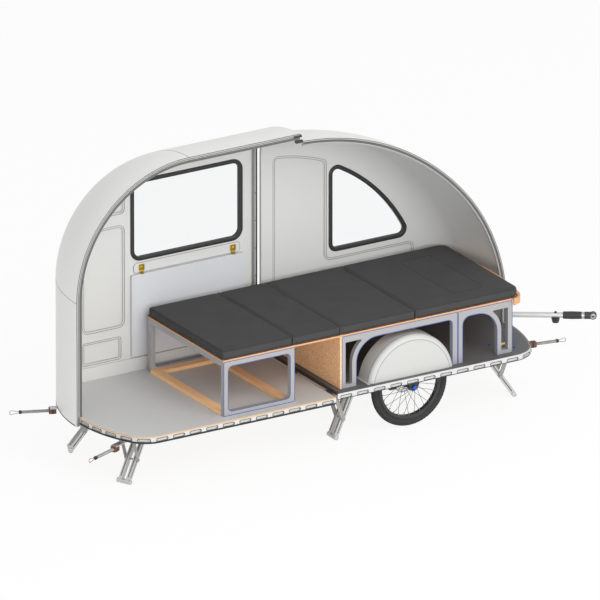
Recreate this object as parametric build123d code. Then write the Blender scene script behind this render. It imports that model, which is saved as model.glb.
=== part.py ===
"""Folding bicycle camper trailer, with the right-hand halves of its two body shells taken off.

Lengths are millimetres, measured from the wheel axle: x forward, y left, z up from the ground.
The exported pieces are moved so that the origin lies under the middle of the whole trailer.
"""
import os
from math import asin, atan2, cos, degrees, pi, radians, sin, sqrt

from build123d import *

os.makedirs("parts", exist_ok=True)

# Driving dimensions
ORIGIN_X = -338.0
WHEEL_R = 253.0
TYRE_R = 25.0
WHEEL_INSET = 127.5
SPOKES = 32
DISC_R = 70.0
DISC_INSET = 56.5
AXLE_R = 6.0
RUN = 0.05

WALL = 20.0
NEST = 3.0
FRONT_HALF = 485.0
FRONT_BOW = 1020.0
FRONT_CORNER = 178.0
REAR_BOW = 860.0
REAR_CORNER = 190.0
REAR_X = -2018.0
REAR_ARC = 754.0
TIP = 885.0
NOSE_R = 1200.0
NOSE_TURN = 40.0
ROOF_R = 1500.0
ROOF_STEP = 49.0
SKIRT_DROP = 56.0

DECK_RISE = 91.0
FLOOR_STEP = 16.0
NOSE_RISE = 84.0
PANEL = 9.0
RAIL = 28.0
RAIL_W = 28.0
SEAL = 8.0
FLOOR_GAP = 14.0

BED_RISE = 321.0
BED_INSET = 61.0
BOARD = 12.0
MATTRESS = 50.0
FRAME_T = 30.0
HEAD_X = -495.0
WHEEL_BAY_X = 290.0

BAR_DROP = 62.0
BAR_INSET = 113.0
BAR_R = 16.5
BAR_BEND = 1010.0
BAR_YAW = 33.0
BAR_REACH = 588.0

# Places that follow from them
REAR_HALF = FRONT_HALF + NEST + WALL
FRONT_TOP = WHEEL_R + DECK_RISE
REAR_TOP = FRONT_TOP - FLOOR_STEP
SKIRT = REAR_TOP - SKIRT_DROP
TURN_X = TIP - NOSE_R
TURN_Z = FRONT_TOP + NOSE_RISE
CROWN_X = TURN_X - (ROOF_R - NOSE_R) * cos(radians(NOSE_TURN))
CROWN_Z = TURN_Z - (ROOF_R - NOSE_R) * sin(radians(NOSE_TURN))
NOSE_X = CROWN_X + 45
ROOF = CROWN_Z + ROOF_R + ROOF_STEP
SEAM_X = NOSE_X - 20
FRONT_EDGE = SEAM_X - 36
REAR_EDGE = FRONT_EDGE - FLOOR_GAP
REAR_RAIL = REAR_TOP - PANEL - RAIL
FRONT_RAIL = FRONT_TOP - PANEL - RAIL
WHEEL_Y = FRONT_HALF - WHEEL_INSET
BED_HALF = FRONT_HALF - BED_INSET
BED_TOP = FRONT_TOP + BED_RISE
BED_JOINTS = (HEAD_X - 795, HEAD_X - 315, HEAD_X, 0.0, WHEEL_BAY_X, TIP - 225)
CUSHION_JOINTS = (HEAD_X - 797, HEAD_X - 321, HEAD_X - 2, 11.0, TIP - 173)
BAR_Y = FRONT_HALF - BAR_INSET
BAR_Z = FRONT_RAIL - BAR_DROP
REAR_LEG_X = REAR_X + 296
MID_LEG_X = FRONT_EDGE + 179
FRONT_LEG_X = TIP - 285


def put(name, shape):
    """Write one piece, moved from the axle to the trailer's origin."""
    export_step(Pos(-ORIGIN_X, 0, 0) * shape, f"parts/{name}.step")


def box(x0, x1, y0, y1, z0, z1):
    """Block between two corners."""
    return Pos((x0 + x1) / 2, (y0 + y1) / 2, (z0 + z1) / 2) * Box(x1 - x0, y1 - y0, z1 - z0)


def rod(start, end, radius):
    """Round bar from one point to another."""
    line = Vector(*end) - Vector(*start)
    plane = Plane(origin=start, z_dir=line)
    return plane * Cylinder(radius, line.length, align=(Align.CENTER, Align.CENTER, Align.MIN))


def across(x, z, radius, y0, y1):
    """Round bar lying across the trailer."""
    return rod((x, y0, z), (x, y1, z), radius)


def pair(shape):
    """A piece of the left side together with its mirror image."""
    return [shape, mirror(shape, Plane.XZ)]


def crown(half, tip, bow, corner, base, full=False):
    """Face from base to tip whose end is a wide bow running into corner arcs."""
    way = 1 if tip > base else -1
    lean = asin((half - corner) / (bow - corner))
    turn = (lean + pi / 2) / 2
    mid = tip - way * bow
    cx = mid + way * (bow - corner) * cos(lean)
    a = (mid + way * bow * cos(lean / 2), bow * sin(lean / 2))
    b = (mid + way * bow * cos(lean), bow * sin(lean))
    c = (cx + way * corner * cos(turn), half - corner + corner * sin(turn))
    d = (cx, half)
    e = (base, half)
    edges = [ThreePointArc((tip, 0), a, b), ThreePointArc(b, c, d), Line(d, e)]
    if not full:
        return Face(Wire(edges + [Line(e, (base, 0)), Line((base, 0), (tip, 0))]))
    a2, b2, c2, d2, e2 = [(x, -y) for x, y in (a, b, c, d, e)]
    back = [Line(e2, d2), ThreePointArc(d2, c2, b2), ThreePointArc(b2, a2, (tip, 0))]
    return Face(Wire(edges + [Line(e, e2)] + back))


def rise(face, z0, z1):
    """Upright prism on a plan face."""
    return extrude(Pos(0, 0, z0) * face, amount=z1 - z0, dir=(0, 0, 1))


def wall(face, x, z, y0, y1):
    """Prism across the trailer on a face drawn in side view about a point."""
    plane = Plane(origin=(x, y0, z), x_dir=(1, 0, 0), z_dir=(0, -1, 0))
    return extrude(plane * face, amount=y1 - y0, dir=(0, 1, 0))


def panel(x0, x1, z0, z1, r, y0, y1):
    """Rounded rectangle in side view, as a prism across the trailer."""
    return wall(RectangleRounded(x1 - x0, z1 - z0, r), (x0 + x1) / 2, (z0 + z1) / 2, y0, y1)


def arch_section(off, x):
    """Half cross-section of the rear shell, upright at a station along the trailer."""
    face = crown(REAR_HALF - off, ROOF - off, REAR_BOW - off, REAR_CORNER - off, SKIRT)
    return Plane(origin=(x, 0, 0), x_dir=(0, 0, 1), z_dir=(-1, 0, 0)) * face


def rear_body(off):
    """Left half of the rear body, as a full block set inwards by an offset."""
    ax, az = REAR_X + REAR_ARC, ROOF - REAR_ARC
    plan = crown(REAR_HALF - off, REAR_X + off, REAR_BOW - off, REAR_CORNER - off, ax)
    back = rise(plan, SKIRT, az)
    turn = revolve(Pos(0, 0, az) * plan, Axis((ax, 0, az), (0, 1, 0)), 90)
    roof = extrude(arch_section(off, ax), amount=SEAM_X - ax, dir=(1, 0, 0))
    return back + turn + roof


def front_body(off):
    """Left half of the front body, as a full block set inwards by an offset, its nose two arcs."""
    half, tip, bow, corner = FRONT_HALF - off, TIP - off, FRONT_BOW - off, FRONT_CORNER - off
    foot = rise(crown(half, tip, bow, corner, NOSE_X), FRONT_TOP, TURN_Z)
    low = crown(half, tip, bow, corner, TURN_X)
    low = revolve(Pos(0, 0, TURN_Z) * low, Axis((TURN_X, 0, TURN_Z), (0, -1, 0)), NOSE_TURN)
    high = crown(half, tip, bow, corner, TIP - ROOF_R)
    high = Pos(TURN_X, 0, TURN_Z) * Rot(0, -NOSE_TURN, 0) * Pos(-TURN_X, 0, 0) * high
    high = revolve(high, Axis((CROWN_X, 0, CROWN_Z), (0, -1, 0)), 90 - NOSE_TURN)
    return (foot + low + high) & box(NOSE_X, TIP, 0, FRONT_HALF, FRONT_TOP, ROOF)


def front_window(radius, x0, z0, corner):
    """Window face bounded by a level sill, an upright and an arc about a point on the seam."""
    block = Pos(x0 - NOSE_X + radius / 2, z0 - arc_z + radius / 2) * Rectangle(radius, radius)
    face = block & Circle(radius)
    return fillet(face.vertices(), corner)


def sheet(x0, x1, z0, z1):
    """Plain rectangle in side view."""
    return Pos((x0 + x1) / 2, (z0 + z1) / 2) * Rectangle(x1 - x0, z1 - z0)


def pocket(face, y):
    """Two-step wall recess on a face drawn in side view, cut outwards from the wall's inner face."""
    outer = wall(face, 0, 0, y - RECESS, y + RECESS / 2)
    return outer + wall(offset(face, -BEAD), 0, 0, y - RECESS, y + RECESS)


# Body shells, left halves
SASH = 24.0
RECESS = 6.0
BEAD = 12.0
inner = REAR_HALF - WALL
turn_x, turn_z = REAR_X + REAR_ARC, ROOF - REAR_ARC
flat_x = REAR_X + REAR_BOW - sqrt((REAR_BOW - REAR_CORNER) ** 2 - (REAR_HALF - REAR_CORNER) ** 2)
flat_r = turn_x - flat_x
WINDOW_BACK = 103.0
WINDOW_R = 70.0
wx0, wx1 = turn_x - WINDOW_BACK, SEAM_X - 91
wz0, wz1 = REAR_TOP + 668, turn_z + sqrt(flat_r**2 - WINDOW_BACK**2) - 2.6
PANEL_X = wx0 - 39
TABLE_X0, TABLE_X1 = wx0, wx1 + 2
TABLE_Z0, TABLE_Z1 = wz0 - 576, wz0 - 76
TABLE_T, CLIP_IN = 18.0, 72.0
BATTEN_T, BATTEN_H = 4.0, 66.0
rear_shell = rear_body(0) - rear_body(WALL)
rear_shell -= panel(wx0, wx1, wz0, wz1, WINDOW_R, inner - 5, REAR_HALF + 5)
high = sheet(PANEL_X - 194, PANEL_X, turn_z + 280, turn_z + 430) & Pos(turn_x, turn_z) * Circle(flat_r - 6)
for face, r in (
    (sheet(PANEL_X - 284, PANEL_X, REAR_TOP + 282, turn_z + 210), 40.0),
    (sheet(PANEL_X - 284, PANEL_X - 24, REAR_TOP + 88, REAR_TOP + 227), 14.0),
    (high, 25.0),
):
    rear_shell -= pocket(fillet(face.vertices(), r), inner)
bx0, bx1, bz0, bz1 = TABLE_X0 + 20, TABLE_X1 - 22, TABLE_Z1 + 6, TABLE_Z1 + BATTEN_H
rear_shell += panel(bx0, bx1, bz0, bz1, 16, inner - BATTEN_T, inner + 1)
put("rear_shell", rear_shell)
SKIRTING, SKIRTING_T = 79.0, 14.0
o = WALL + SKIRTING_T
ledge = crown(REAR_HALF - WALL, REAR_X + WALL, REAR_BOW - WALL, REAR_CORNER - WALL, REAR_EDGE)
ledge = rise(ledge, 0, SKIRTING)
ledge -= rise(crown(REAR_HALF - o, REAR_X + o, REAR_BOW - o, REAR_CORNER - o, 0), -1, ROOF)
put("wall_skirting", Pos(0, 0, REAR_TOP) * (ledge & box(REAR_X, 0, 12.5, REAR_HALF, -1, ROOF)))
rear_flange = rear_body(WALL) - rear_body(WALL + 16)
rear_flange &= box(REAR_X, SEAM_X, 0, 12, REAR_TOP + 1, ROOF)
rear_light = panel(wx0 + SASH, wx1 - SASH, wz0 + SASH, wz1 - SASH, WINDOW_R - SASH, 0, 2 * REAR_HALF)
rear_sash = panel(wx0, wx1, wz0, wz1, WINDOW_R, inner - 5, REAR_HALF + 3) - rear_light

seam = arch_section(WALL, SEAM_X - 30) - arch_section(WALL + 14, SEAM_X - 30)
seam = extrude(seam, amount=24, dir=(1, 0, 0))
put("seam_seal", seam & box(SEAM_X - 60, 0, 12.5, REAR_HALF, FRONT_TOP + 1, ROOF))

LIGHT_X, LIGHT_Z, LIGHT_R = NOSE_X + 455, FRONT_TOP + 460, 55.0
arc_z = FRONT_TOP + 16
light_r = CROWN_Z + ROOF_R - arc_z - 265
front_in = FRONT_HALF - WALL
front_shell = front_body(0) - front_body(WALL)
front_hole = front_window(light_r, LIGHT_X, LIGHT_Z, LIGHT_R)
front_shell -= wall(front_hole, NOSE_X, arc_z, front_in - 5, FRONT_HALF + 5)
upright = sheet(NOSE_X + 80, LIGHT_X - 15, FRONT_TOP + 126, ROOF)
lower = sheet(NOSE_X + 80, LIGHT_X + 575, FRONT_TOP + 126, LIGHT_Z - 34)
bent = (upright + lower) & Pos(NOSE_X, arc_z) * Circle(light_r + 2)
front_shell -= pocket(fillet(bent.vertices(), 32), front_in)
put("front_shell", front_shell)
front_flange = front_body(WALL) - front_body(WALL + 12)
front_flange &= box(NOSE_X, TIP, 0, 10, 0, ROOF)
put("shell_flanges", Compound([rear_flange, front_flange]))
front_light = front_window(light_r - SASH, LIGHT_X + SASH, LIGHT_Z + SASH, LIGHT_R - SASH)
front_light = wall(front_light, NOSE_X, arc_z, 0, 2 * FRONT_HALF)
front_sash = wall(front_hole, NOSE_X, arc_z, front_in - 5, FRONT_HALF + 3)
put("window_seals", Compound([rear_sash, front_sash - front_light]))
rear_pane = rear_light & box(REAR_X, SEAM_X, inner + 8, inner + 12, 0, ROOF)
front_pane = front_light & box(NOSE_X, TIP, front_in + 8, front_in + 12, 0, ROOF)
put("window_panes", Compound([rear_pane, front_pane]))

# Floors, rails and their beams


def rear_plan(inset):
    """Rear floor outline, drawn in by an inset."""
    o = WALL + inset
    return crown(REAR_HALF - o, REAR_X + o, REAR_BOW - o, REAR_CORNER - o, REAR_EDGE - inset, True)


def front_plan(inset):
    """Front floor outline, drawn in by an inset."""
    o = inset
    return crown(FRONT_HALF - o, TIP - o, FRONT_BOW - o, FRONT_CORNER - o, FRONT_EDGE + o, True)


SLOT_PITCH = 110.0
SLOT_L = 75.0
SLOT_H = 17.0
SLOT_DEPTH = 9.0


def slots(plan, edge, z):
    """Pockets for the lashing slots at an even pitch round an outline, its straight hinge edge left plain."""
    around = [e for e in plan.outer_wire().edges() if abs((e @ 0.5).X - edge) > 1]
    path = Wire(around)
    count = int(path.length // SLOT_PITCH)
    cut = []
    for i in range(count):
        at = path.position_at((i + 0.5) / count)
        run = path.tangent_at((i + 0.5) / count)
        plane = Plane(origin=(at.X, at.Y, z), x_dir=(run.X, run.Y, 0), z_dir=(run.Y, -run.X, 0))
        cut.append(extrude(plane * SlotOverall(SLOT_L, SLOT_H), amount=SLOT_DEPTH, both=True))
    return cut


LIP = 8.0
put("rear_floor", rise(rear_plan(0), REAR_TOP - PANEL, REAR_TOP))
rear_rail = rise(rear_plan(0), REAR_RAIL, REAR_RAIL + RAIL) - rise(rear_plan(RAIL_W), 0, ROOF)
put("rear_rail", rear_rail - slots(rear_plan(0), REAR_EDGE, REAR_RAIL + RAIL / 2))
put("rear_rail_seal", rise(rear_plan(2), REAR_RAIL - SEAL, REAR_RAIL) - rise(rear_plan(20), 0, ROOF))

WELL_IN, WELL_OUT = WHEEL_Y - 33.5, WHEEL_Y + 66.5
well_half = sqrt(WHEEL_R**2 - (DECK_RISE - PANEL) ** 2) + 6.6
well = box(-well_half - 6, well_half, WELL_IN, WELL_OUT, WHEEL_R, ROOF)
front_floor = rise(front_plan(LIP), FRONT_TOP - PANEL, FRONT_TOP)
put("front_floor", front_floor - pair(well))
front_rail = rise(front_plan(0), FRONT_RAIL, FRONT_RAIL + RAIL) - rise(front_plan(RAIL_W), 0, ROOF)
front_rail += rise(front_plan(0), FRONT_RAIL, FRONT_TOP) - rise(front_plan(LIP), 0, ROOF)
put("front_rail", front_rail - slots(front_plan(0), FRONT_EDGE, FRONT_RAIL + RAIL / 2))

beams = []
for x, plan, z in (
    (REAR_LEG_X, rear_plan(RAIL_W), REAR_RAIL),
    (REAR_X + 868, rear_plan(RAIL_W), REAR_RAIL),
    (MID_LEG_X, front_plan(RAIL_W), FRONT_RAIL),
    (WHEEL_BAY_X, front_plan(RAIL_W), FRONT_RAIL),
    (FRONT_LEG_X, front_plan(RAIL_W), FRONT_RAIL),
):
    beams.append(rise(plan, z, z + RAIL) & box(x - 22, x + 22, -REAR_HALF, REAR_HALF, z, z + RAIL))
put("floor_beams", Compound(beams))

hinges = []
for y in (85 - FRONT_HALF, 0.0, FRONT_HALF - 85):
    leaf = box(REAR_EDGE, FRONT_EDGE, y - 28, y + 28, REAR_RAIL, REAR_TOP)
    hinges.append(leaf + across((REAR_EDGE + FRONT_EDGE) / 2, REAR_TOP + 2, 7, y - 28, y + 28))
put("floor_hinges", Compound(hinges))

# Wall table and its clips
put("wall_table", panel(TABLE_X0, TABLE_X1, TABLE_Z0, TABLE_Z1, 8, inner - TABLE_T, inner))
clips = []
face_y = inner - BATTEN_T
for x in (TABLE_X0 + CLIP_IN, TABLE_X1 - CLIP_IN):
    shield = Polygon((-17, 46), (17, 46), (17, 14), (8, 0), (-8, 0), (-17, 14), align=None)
    stem = wall(fillet(shield.vertices(), 5), x, TABLE_Z1 + 10, face_y - 7, face_y)
    stem += across(x, TABLE_Z1 + 36, 8, face_y - 14, face_y)
    clips.append(stem + box(x - 8, x + 8, inner - TABLE_T - 4, face_y, TABLE_Z1, TABLE_Z1 + 16))
put("table_clips", Compound(clips))

# Wheel arches
ARCH_R, ARCH_X, ARCH_DROP, ARCH_T = 288.0, -34.0, 43.0, 4.0
ARCH_EDGE, ARCH_LIP, ARCH_LIP_T = 30.0, 14.0, 3.0
ARCH_IN, ARCH_OUT = WELL_IN - ARCH_T, FRONT_HALF - 35
arch_mid = FRONT_TOP - ARCH_DROP
arch_half = sqrt(ARCH_R**2 - ARCH_DROP**2)
ball = across(ARCH_X, arch_mid, ARCH_R, ARCH_IN, ARCH_OUT)
ball = fillet(ball.edges().filter_by(GeomType.CIRCLE).sort_by(Axis.Y)[-1], ARCH_EDGE)
hollow = across(ARCH_X, arch_mid, ARCH_R - ARCH_T, ARCH_IN + ARCH_T, ARCH_OUT - ARCH_T)
hollow = fillet(hollow.edges().filter_by(GeomType.CIRCLE).sort_by(Axis.Y)[-1], ARCH_EDGE - ARCH_T)
arch = ball & box(ARCH_X - ARCH_R, ARCH_X + ARCH_R, 0, FRONT_HALF, FRONT_TOP, ROOF)
back, fore = ARCH_X - arch_half, ARCH_X + arch_half
lip_y, lip_top = ARCH_IN - ARCH_LIP, FRONT_TOP + ARCH_LIP_T
arch += box(back - ARCH_LIP, fore, lip_y, ARCH_IN + 1, FRONT_TOP, lip_top)
arch += box(back - ARCH_LIP, back + 1, lip_y, ARCH_OUT, FRONT_TOP, lip_top)
put("wheel_arches", Compound(pair(arch - hollow)))

# Bed base


def doorway(x0, x1, top, r0, r1):
    """Opening in side view, measured up from the deck, with its own radius at each upper corner."""
    face = sheet(x0, x1, -60, top)
    face = fillet(face.vertices().sort_by_distance((x0, top, 0))[0], r0)
    return fillet(face.vertices().sort_by_distance((x1, top, 0))[0], r1)


BEAM, POST = 41.0, 30.0
y_in = BED_HALF - FRAME_T
door_top = BED_RISE - BEAM
RX0, RX1 = BED_JOINTS[0] + 3, BED_JOINTS[1] + 1
rear_side = box(RX0, RX1, y_in, BED_HALF, REAR_TOP, BED_TOP)
rear_side -= panel(RX0 + POST, RX1 - POST, REAR_TOP + 26, BED_TOP - 32, 28, 0, REAR_HALF)
rear_stand = rear_side + mirror(rear_side, Plane.XZ)
rear_stand += box(RX0, RX0 + POST, -y_in, y_in, BED_TOP - 34, BED_TOP)
rear_stand += box(RX1 - POST, RX1, -y_in, y_in, BED_TOP - 34, BED_TOP)
put("rear_bed_frame", rear_stand)
put(
    "rear_bed_battens",
    Compound(
        [
            box(RX0, RX0 + 52, -y_in, y_in, REAR_TOP, REAR_TOP + 22),
            box(RX1 - 70, RX1 - 20, -y_in, y_in, REAR_TOP, REAR_TOP + 22),
            box(RX0 + 52, RX1 - 70, y_in - 50, y_in, REAR_TOP, REAR_TOP + 22),
        ]
    ),
)
put("bed_bulkhead", box(HEAD_X - 10, HEAD_X + 2, -BED_HALF, BED_HALF, FRONT_TOP, BED_TOP))

AX0, AX1 = HEAD_X + 2, WHEEL_BAY_X
STRUT, CROOK, NOTCH = 28.0, 140.0, 20.0
ox0, ox1 = AX0 + 98, AX1 - 36
wheel_side = box(AX0, AX1, y_in, BED_HALF, FRONT_TOP, BED_TOP)
wheel_side -= wall(doorway(ox0, ox1, door_top, CROOK, 28), 0, FRONT_TOP, 0, FRONT_HALF)
pinch = sheet(AX0 + 25, ox0 + CROOK, NOTCH, door_top)
pinch -= doorway(ox0 - STRUT, ox1, door_top + STRUT, CROOK + STRUT, 28)
tips = pinch.vertices().filter_by(lambda v: abs(v.Y - door_top + CROOK) > 1)
wheel_side -= wall(fillet(tips, 6), 0, FRONT_TOP, 0, FRONT_HALF)
put("wheel_bed_frames", Compound(pair(wheel_side)))

BX0, BX1 = AX1 + 2, BED_JOINTS[5]
VAULT = 130.0
vx0, vx1 = BX0 + 31, BX1 - 103
front_side = box(BX0, BX1, y_in, BED_HALF, FRONT_TOP, BED_TOP)
front_side -= wall(doorway(vx0, vx1, door_top, 50, VAULT), 0, FRONT_TOP, 0, FRONT_HALF)
gap = sheet(vx1 - VAULT, BX1 - POST, NOTCH, door_top)
gap -= doorway(vx0, vx1 + STRUT, door_top + STRUT, 50, VAULT + STRUT)
tips = gap.vertices().filter_by(lambda v: abs(v.Y - door_top + VAULT) > 1)
front_side -= wall(fillet(tips, 6), 0, FRONT_TOP, 0, FRONT_HALF)
put("front_bed_frames", Compound(pair(front_side)))

boards = []
for x0, x1 in zip(BED_JOINTS, BED_JOINTS[1:]):
    boards.append(box(x0 + 1, x1 - 1, -BED_HALF, BED_HALF, BED_TOP, BED_TOP + BOARD))
put("bed_boards", Compound(boards))

NOSE_TIP, NOSE_HALF, NOSE_BOW, NOSE_CORNER, RIM = TIP - 101, BED_HALF + 22, 1600.0, 100.0, 14.0
lid = crown(NOSE_HALF, NOSE_TIP, NOSE_BOW, NOSE_CORNER, AX1, True)
lip = crown(NOSE_HALF - RIM, NOSE_TIP - RIM, NOSE_BOW - RIM, NOSE_CORNER - RIM, AX1, True)
nose = rise(lid, BED_TOP - 28, BED_TOP + BOARD) - rise(lip, BED_TOP - 60, BED_TOP)
put("nose_board", nose & box(BX1, TIP, -FRONT_HALF, FRONT_HALF, 0, ROOF))

lay = BED_TOP + BOARD
for name, x0, x1 in zip(("rear", "waist", "middle", "front"), CUSHION_JOINTS, CUSHION_JOINTS[1:]):
    cut, snip = (32, 24) if name == "front" else (0, 0)
    left = [(x0 + 1, BED_HALF), (x1 - 1 - cut, BED_HALF), (x1 - 1, BED_HALF - snip)]
    right = [(x, -y) for x, y in reversed(left)]
    outline = Polygon(*(left + right if cut else left[:2] + right[1:]), align=None)
    put(f"cushion_{name}", rise(outline, lay, lay + MATTRESS))

# Wheels
rim_r = WHEEL_R - 2 * TYRE_R
hub_in, hub_out = WHEEL_Y - 37, WHEEL_Y + 37


def spoke(index):
    """One straight spoke from a hub flange to the rim, leaning with its own flange."""
    flange = 1 if index % 2 else -1
    at = 2 * pi * index / SPOKES
    lean = at + flange * radians(55)
    foot = (24 * cos(lean), flange * 30, 24 * sin(lean))
    head = ((rim_r - 11) * cos(at), flange * 2, (rim_r - 11) * sin(at))
    return rod(foot, head, 1.2)


section = Pos(WHEEL_R - TYRE_R, 0) * RegularPolygon(TYRE_R, 12, major_radius=False, rotation=15)
tyre = revolve(Plane.XY * section, Axis.Y, 360)
ring = across(0, 0, rim_r + 9, -15, 15) - across(0, 0, rim_r - 13, -20, 20)
ring -= tyre
hub = across(0, 0, 15, -37, 37) + across(0, 0, 28, -33, -27) + across(0, 0, 28, 27, 33)
hub = hub + [spoke(i) for i in range(SPOKES)]
hub += across(0, 0, 20, -DISC_INSET - 4, -36)
hub -= across(0, 0, AXLE_R + RUN, -90, 90)
wheel = hub + ring
disc = across(0, 0, DISC_R, -1, 1) - across(0, 0, 20, -2, 2)
for i in range(6):
    a = 2 * pi * i / 6
    mid_r, edge_r = 0.53 * DISC_R, DISC_R - 13
    disc -= across(mid_r * cos(a), mid_r * sin(a), 13, -2, 2)
    disc -= across(edge_r * cos(a + pi / 6), edge_r * sin(a + pi / 6), 6, -2, 2)

hang = DECK_RISE - PANEL
DISC_Y = WHEEL_Y - DISC_INSET
OUT_Y0, OUT_Y1 = WHEEL_Y + 52.5, WHEEL_Y + 60.5
IN_Y0, IN_Y1 = DISC_Y - 23, DISC_Y - 17
plate_in = Polygon((-118, hang), (70, hang), (24, -18), (-24, -18), (-104, -36), (-118, -20), align=None)
plate_out = Polygon((-60, hang), (60, hang), (22, -14), (0, -24), (-22, -14), align=None)
inboard = wall(plate_in, 0, WHEEL_R, IN_Y0, IN_Y1)
outboard = wall(plate_out, 0, WHEEL_R, OUT_Y0, OUT_Y1)
outboard += box(-60, 60, OUT_Y0, FRONT_HALF - RAIL_W, FRONT_RAIL + RAIL - 8, FRONT_RAIL + RAIL)
axle = across(0, WHEEL_R, AXLE_R, IN_Y0 - 8, OUT_Y1 + 2)
nut = across(0, WHEEL_R, 13, OUT_Y1, OUT_Y1 + 12) - across(0, WHEEL_R, AXLE_R, 0, OUT_Y1 + 2)
clamp = box(-DISC_R - 32, 14 - DISC_R, IN_Y1, DISC_Y + 14, WHEEL_R - 34, WHEEL_R + 12)
clamp -= box(-DISC_R - 10, 0, DISC_Y - 7, DISC_Y + 7, WHEEL_R - 60, WHEEL_R + 60)

put("axle_plates", Compound(pair(inboard + outboard + axle)))
put("axle_caps", Compound(pair(nut)))
put("brake_calipers", Compound(pair(clamp)))
for piece, y, shape in (("tyre", WHEEL_Y, tyre), ("wheel", WHEEL_Y, wheel), ("brake_disc", DISC_Y, disc)):
    placed = Pos(0, y, WHEEL_R) * shape
    put(f"{piece}_left", placed)
    put(f"{piece}_right", mirror(placed, Plane.XZ))

# Folding legs
LEG_W, LEG_D, LEG_PITCH, FOOT_R, PIN_R = 22.0, 28.0, 50.0, 14.0, 5.0
leg_out = (LEG_PITCH + LEG_W) / 2
leg_in = (LEG_PITCH - LEG_W) / 2
BRACE_GAP, BRACE_T, BRACE_W = 3.0, 5.0, 24.0
# name, pivot x, pivot y, pivot z, heading of the lean, lean, bolt below pivot, brace, tilt, underside
LEGS = (
    ("rear", REAR_LEG_X, REAR_HALF - 278, REAR_RAIL - 33, 155.0, 36.0, 165.0, 150.0, 55.0, REAR_RAIL),
    ("mid", MID_LEG_X, FRONT_HALF - 175, FRONT_RAIL - 49, 180.0, 24.0, 151.0, 130.0, 43.0, FRONT_RAIL),
    ("front", FRONT_LEG_X, FRONT_HALF - 285, FRONT_RAIL - 32, 16.4, 34.0, 165.0, 150.0, 53.0, FRONT_RAIL),
)
tongues = []
for name, px, py, pz, heading, lean, bolt, brace, tilt, under in LEGS:
    length = (pz - FOOT_R) / cos(radians(lean))
    leg = box(-LEG_D / 2, LEG_D / 2, leg_in, leg_out, -length, 12)
    leg += box(-LEG_D / 2, LEG_D / 2, -leg_out, -leg_in, -length, 12)
    leg += across(0, -length, FOOT_R, -leg_out - 8, leg_out + 8)
    leg += across(0, 0, PIN_R, -leg_out, leg_out)
    leg -= across(0, -bolt, PIN_R + RUN, -90, 90)
    strap = wall(SlotOverall(brace + BRACE_W, BRACE_W, rotation=90), 0, brace / 2, 0, BRACE_T)
    strap = Pos(0, leg_out + BRACE_GAP, 0) * strap
    link = pair(strap)[0] + pair(strap)[1]
    reach = leg_out + BRACE_GAP + BRACE_T + 4
    link += across(0, 0, PIN_R, -reach, reach)
    link = Pos(0, 0, -bolt) * Rot(0, tilt, 0) * link
    stance = Pos(px, py, pz) * Rot(0, 0, heading) * Rot(0, -lean, 0)
    spot = Pos(px, py, 0) * Rot(0, 0, heading)
    tongue = box(-20, 20, -8, 8, pz - 4, under - 5) + across(0, pz, 16, -8, 8)
    tongue += box(-22, 22, -40, 40, under - 6, under)
    tongue -= across(0, pz, PIN_R + RUN, -90, 90)
    tongues += pair(spot * tongue)
    put(f"leg_{name}_left", stance * leg)
    put(f"leg_{name}_right", mirror(stance * leg, Plane.XZ))
    put(f"brace_{name}_left", stance * link)
    put(f"brace_{name}_right", mirror(stance * link, Plane.XZ))
put("leg_brackets", Compound(tongues))

# Tow bar
yaw = radians(BAR_YAW)
swing = 150.0
tangent = swing * sin(yaw / 2) / cos(yaw / 2)
root = (TIP - 485, BAR_Y, BAR_Z)
knee = (BAR_BEND - tangent, BAR_Y, BAR_Z)
mid = (BAR_BEND - tangent + swing * sin(yaw / 2), BAR_Y - swing * (1 - cos(yaw / 2)), BAR_Z)
past = (BAR_BEND + tangent * cos(yaw), BAR_Y - tangent * sin(yaw), BAR_Z)


def along(s, side=0.0, up=0.0):
    """Point by the slanting run of the tow bar, at a distance past the bend, aside and above it."""
    x = BAR_BEND + s * cos(yaw) + side * sin(yaw)
    return (x, BAR_Y - s * sin(yaw) + side * cos(yaw), BAR_Z + up)


EYE_R, EYE_W, BORE_R = 21.0, 30.0, 8.0
HEAD_S, RING_S, BOOT_S, FOOT_S = BAR_REACH - 49, BAR_REACH - 66, BAR_REACH - 175, BAR_REACH - 218
path = Wire([Line(root, knee), ThreePointArc(knee, mid, past), Line(past, along(BOOT_S))])
tube = sweep(Plane(origin=root, z_dir=(1, 0, 0)) * Circle(BAR_R), path=path)
put("tow_bar", tube)
clamps = []
for x in (TIP - 435, TIP - 195):
    ring_ = box(x - 20, x + 20, BAR_Y - 26, BAR_Y + 26, BAR_Z - 26, FRONT_RAIL + RAIL)
    clamps.append(ring_ - rod((x - 30, BAR_Y, BAR_Z), (x + 30, BAR_Y, BAR_Z), BAR_R))
put("tow_bar_clamps", Compound(clamps))
span = RING_S - BOOT_S
barrel = [ThreePointArc((0, 20), (span / 2, 21.5), (span, 20.5)), Line((span, 20.5), (span, 0))]
barrel = Face(Wire(barrel + [Line((span, 0), (0, 0)), Line((0, 0), (0, 20))]))
boot = Pos(*along(BOOT_S)) * Rot(0, 0, -BAR_YAW) * revolve(barrel, Axis.X, 360)
for s in (14, 27, 40):
    boot -= rod(along(RING_S - s), along(RING_S - s + 4), 30) - rod(along(BOOT_S), along(RING_S), 18.5)
put("tow_boot", boot)
head = rod(along(RING_S), along(HEAD_S), 20)
head += rod(along(HEAD_S), along(BAR_REACH - BORE_R - 5), EYE_R + 0.5)
head += rod(along(BAR_REACH, -EYE_W / 2), along(BAR_REACH, EYE_W / 2), EYE_R)
put("tow_hitch", head - rod(along(BAR_REACH, -EYE_R - 5), along(BAR_REACH, EYE_R + 5), BORE_R))
CUP, KNOB_R = 32.0, 5.0
cup = Cone(18.5, 26.5, CUP, align=(Align.CENTER, Align.CENTER, Align.MIN))
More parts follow.
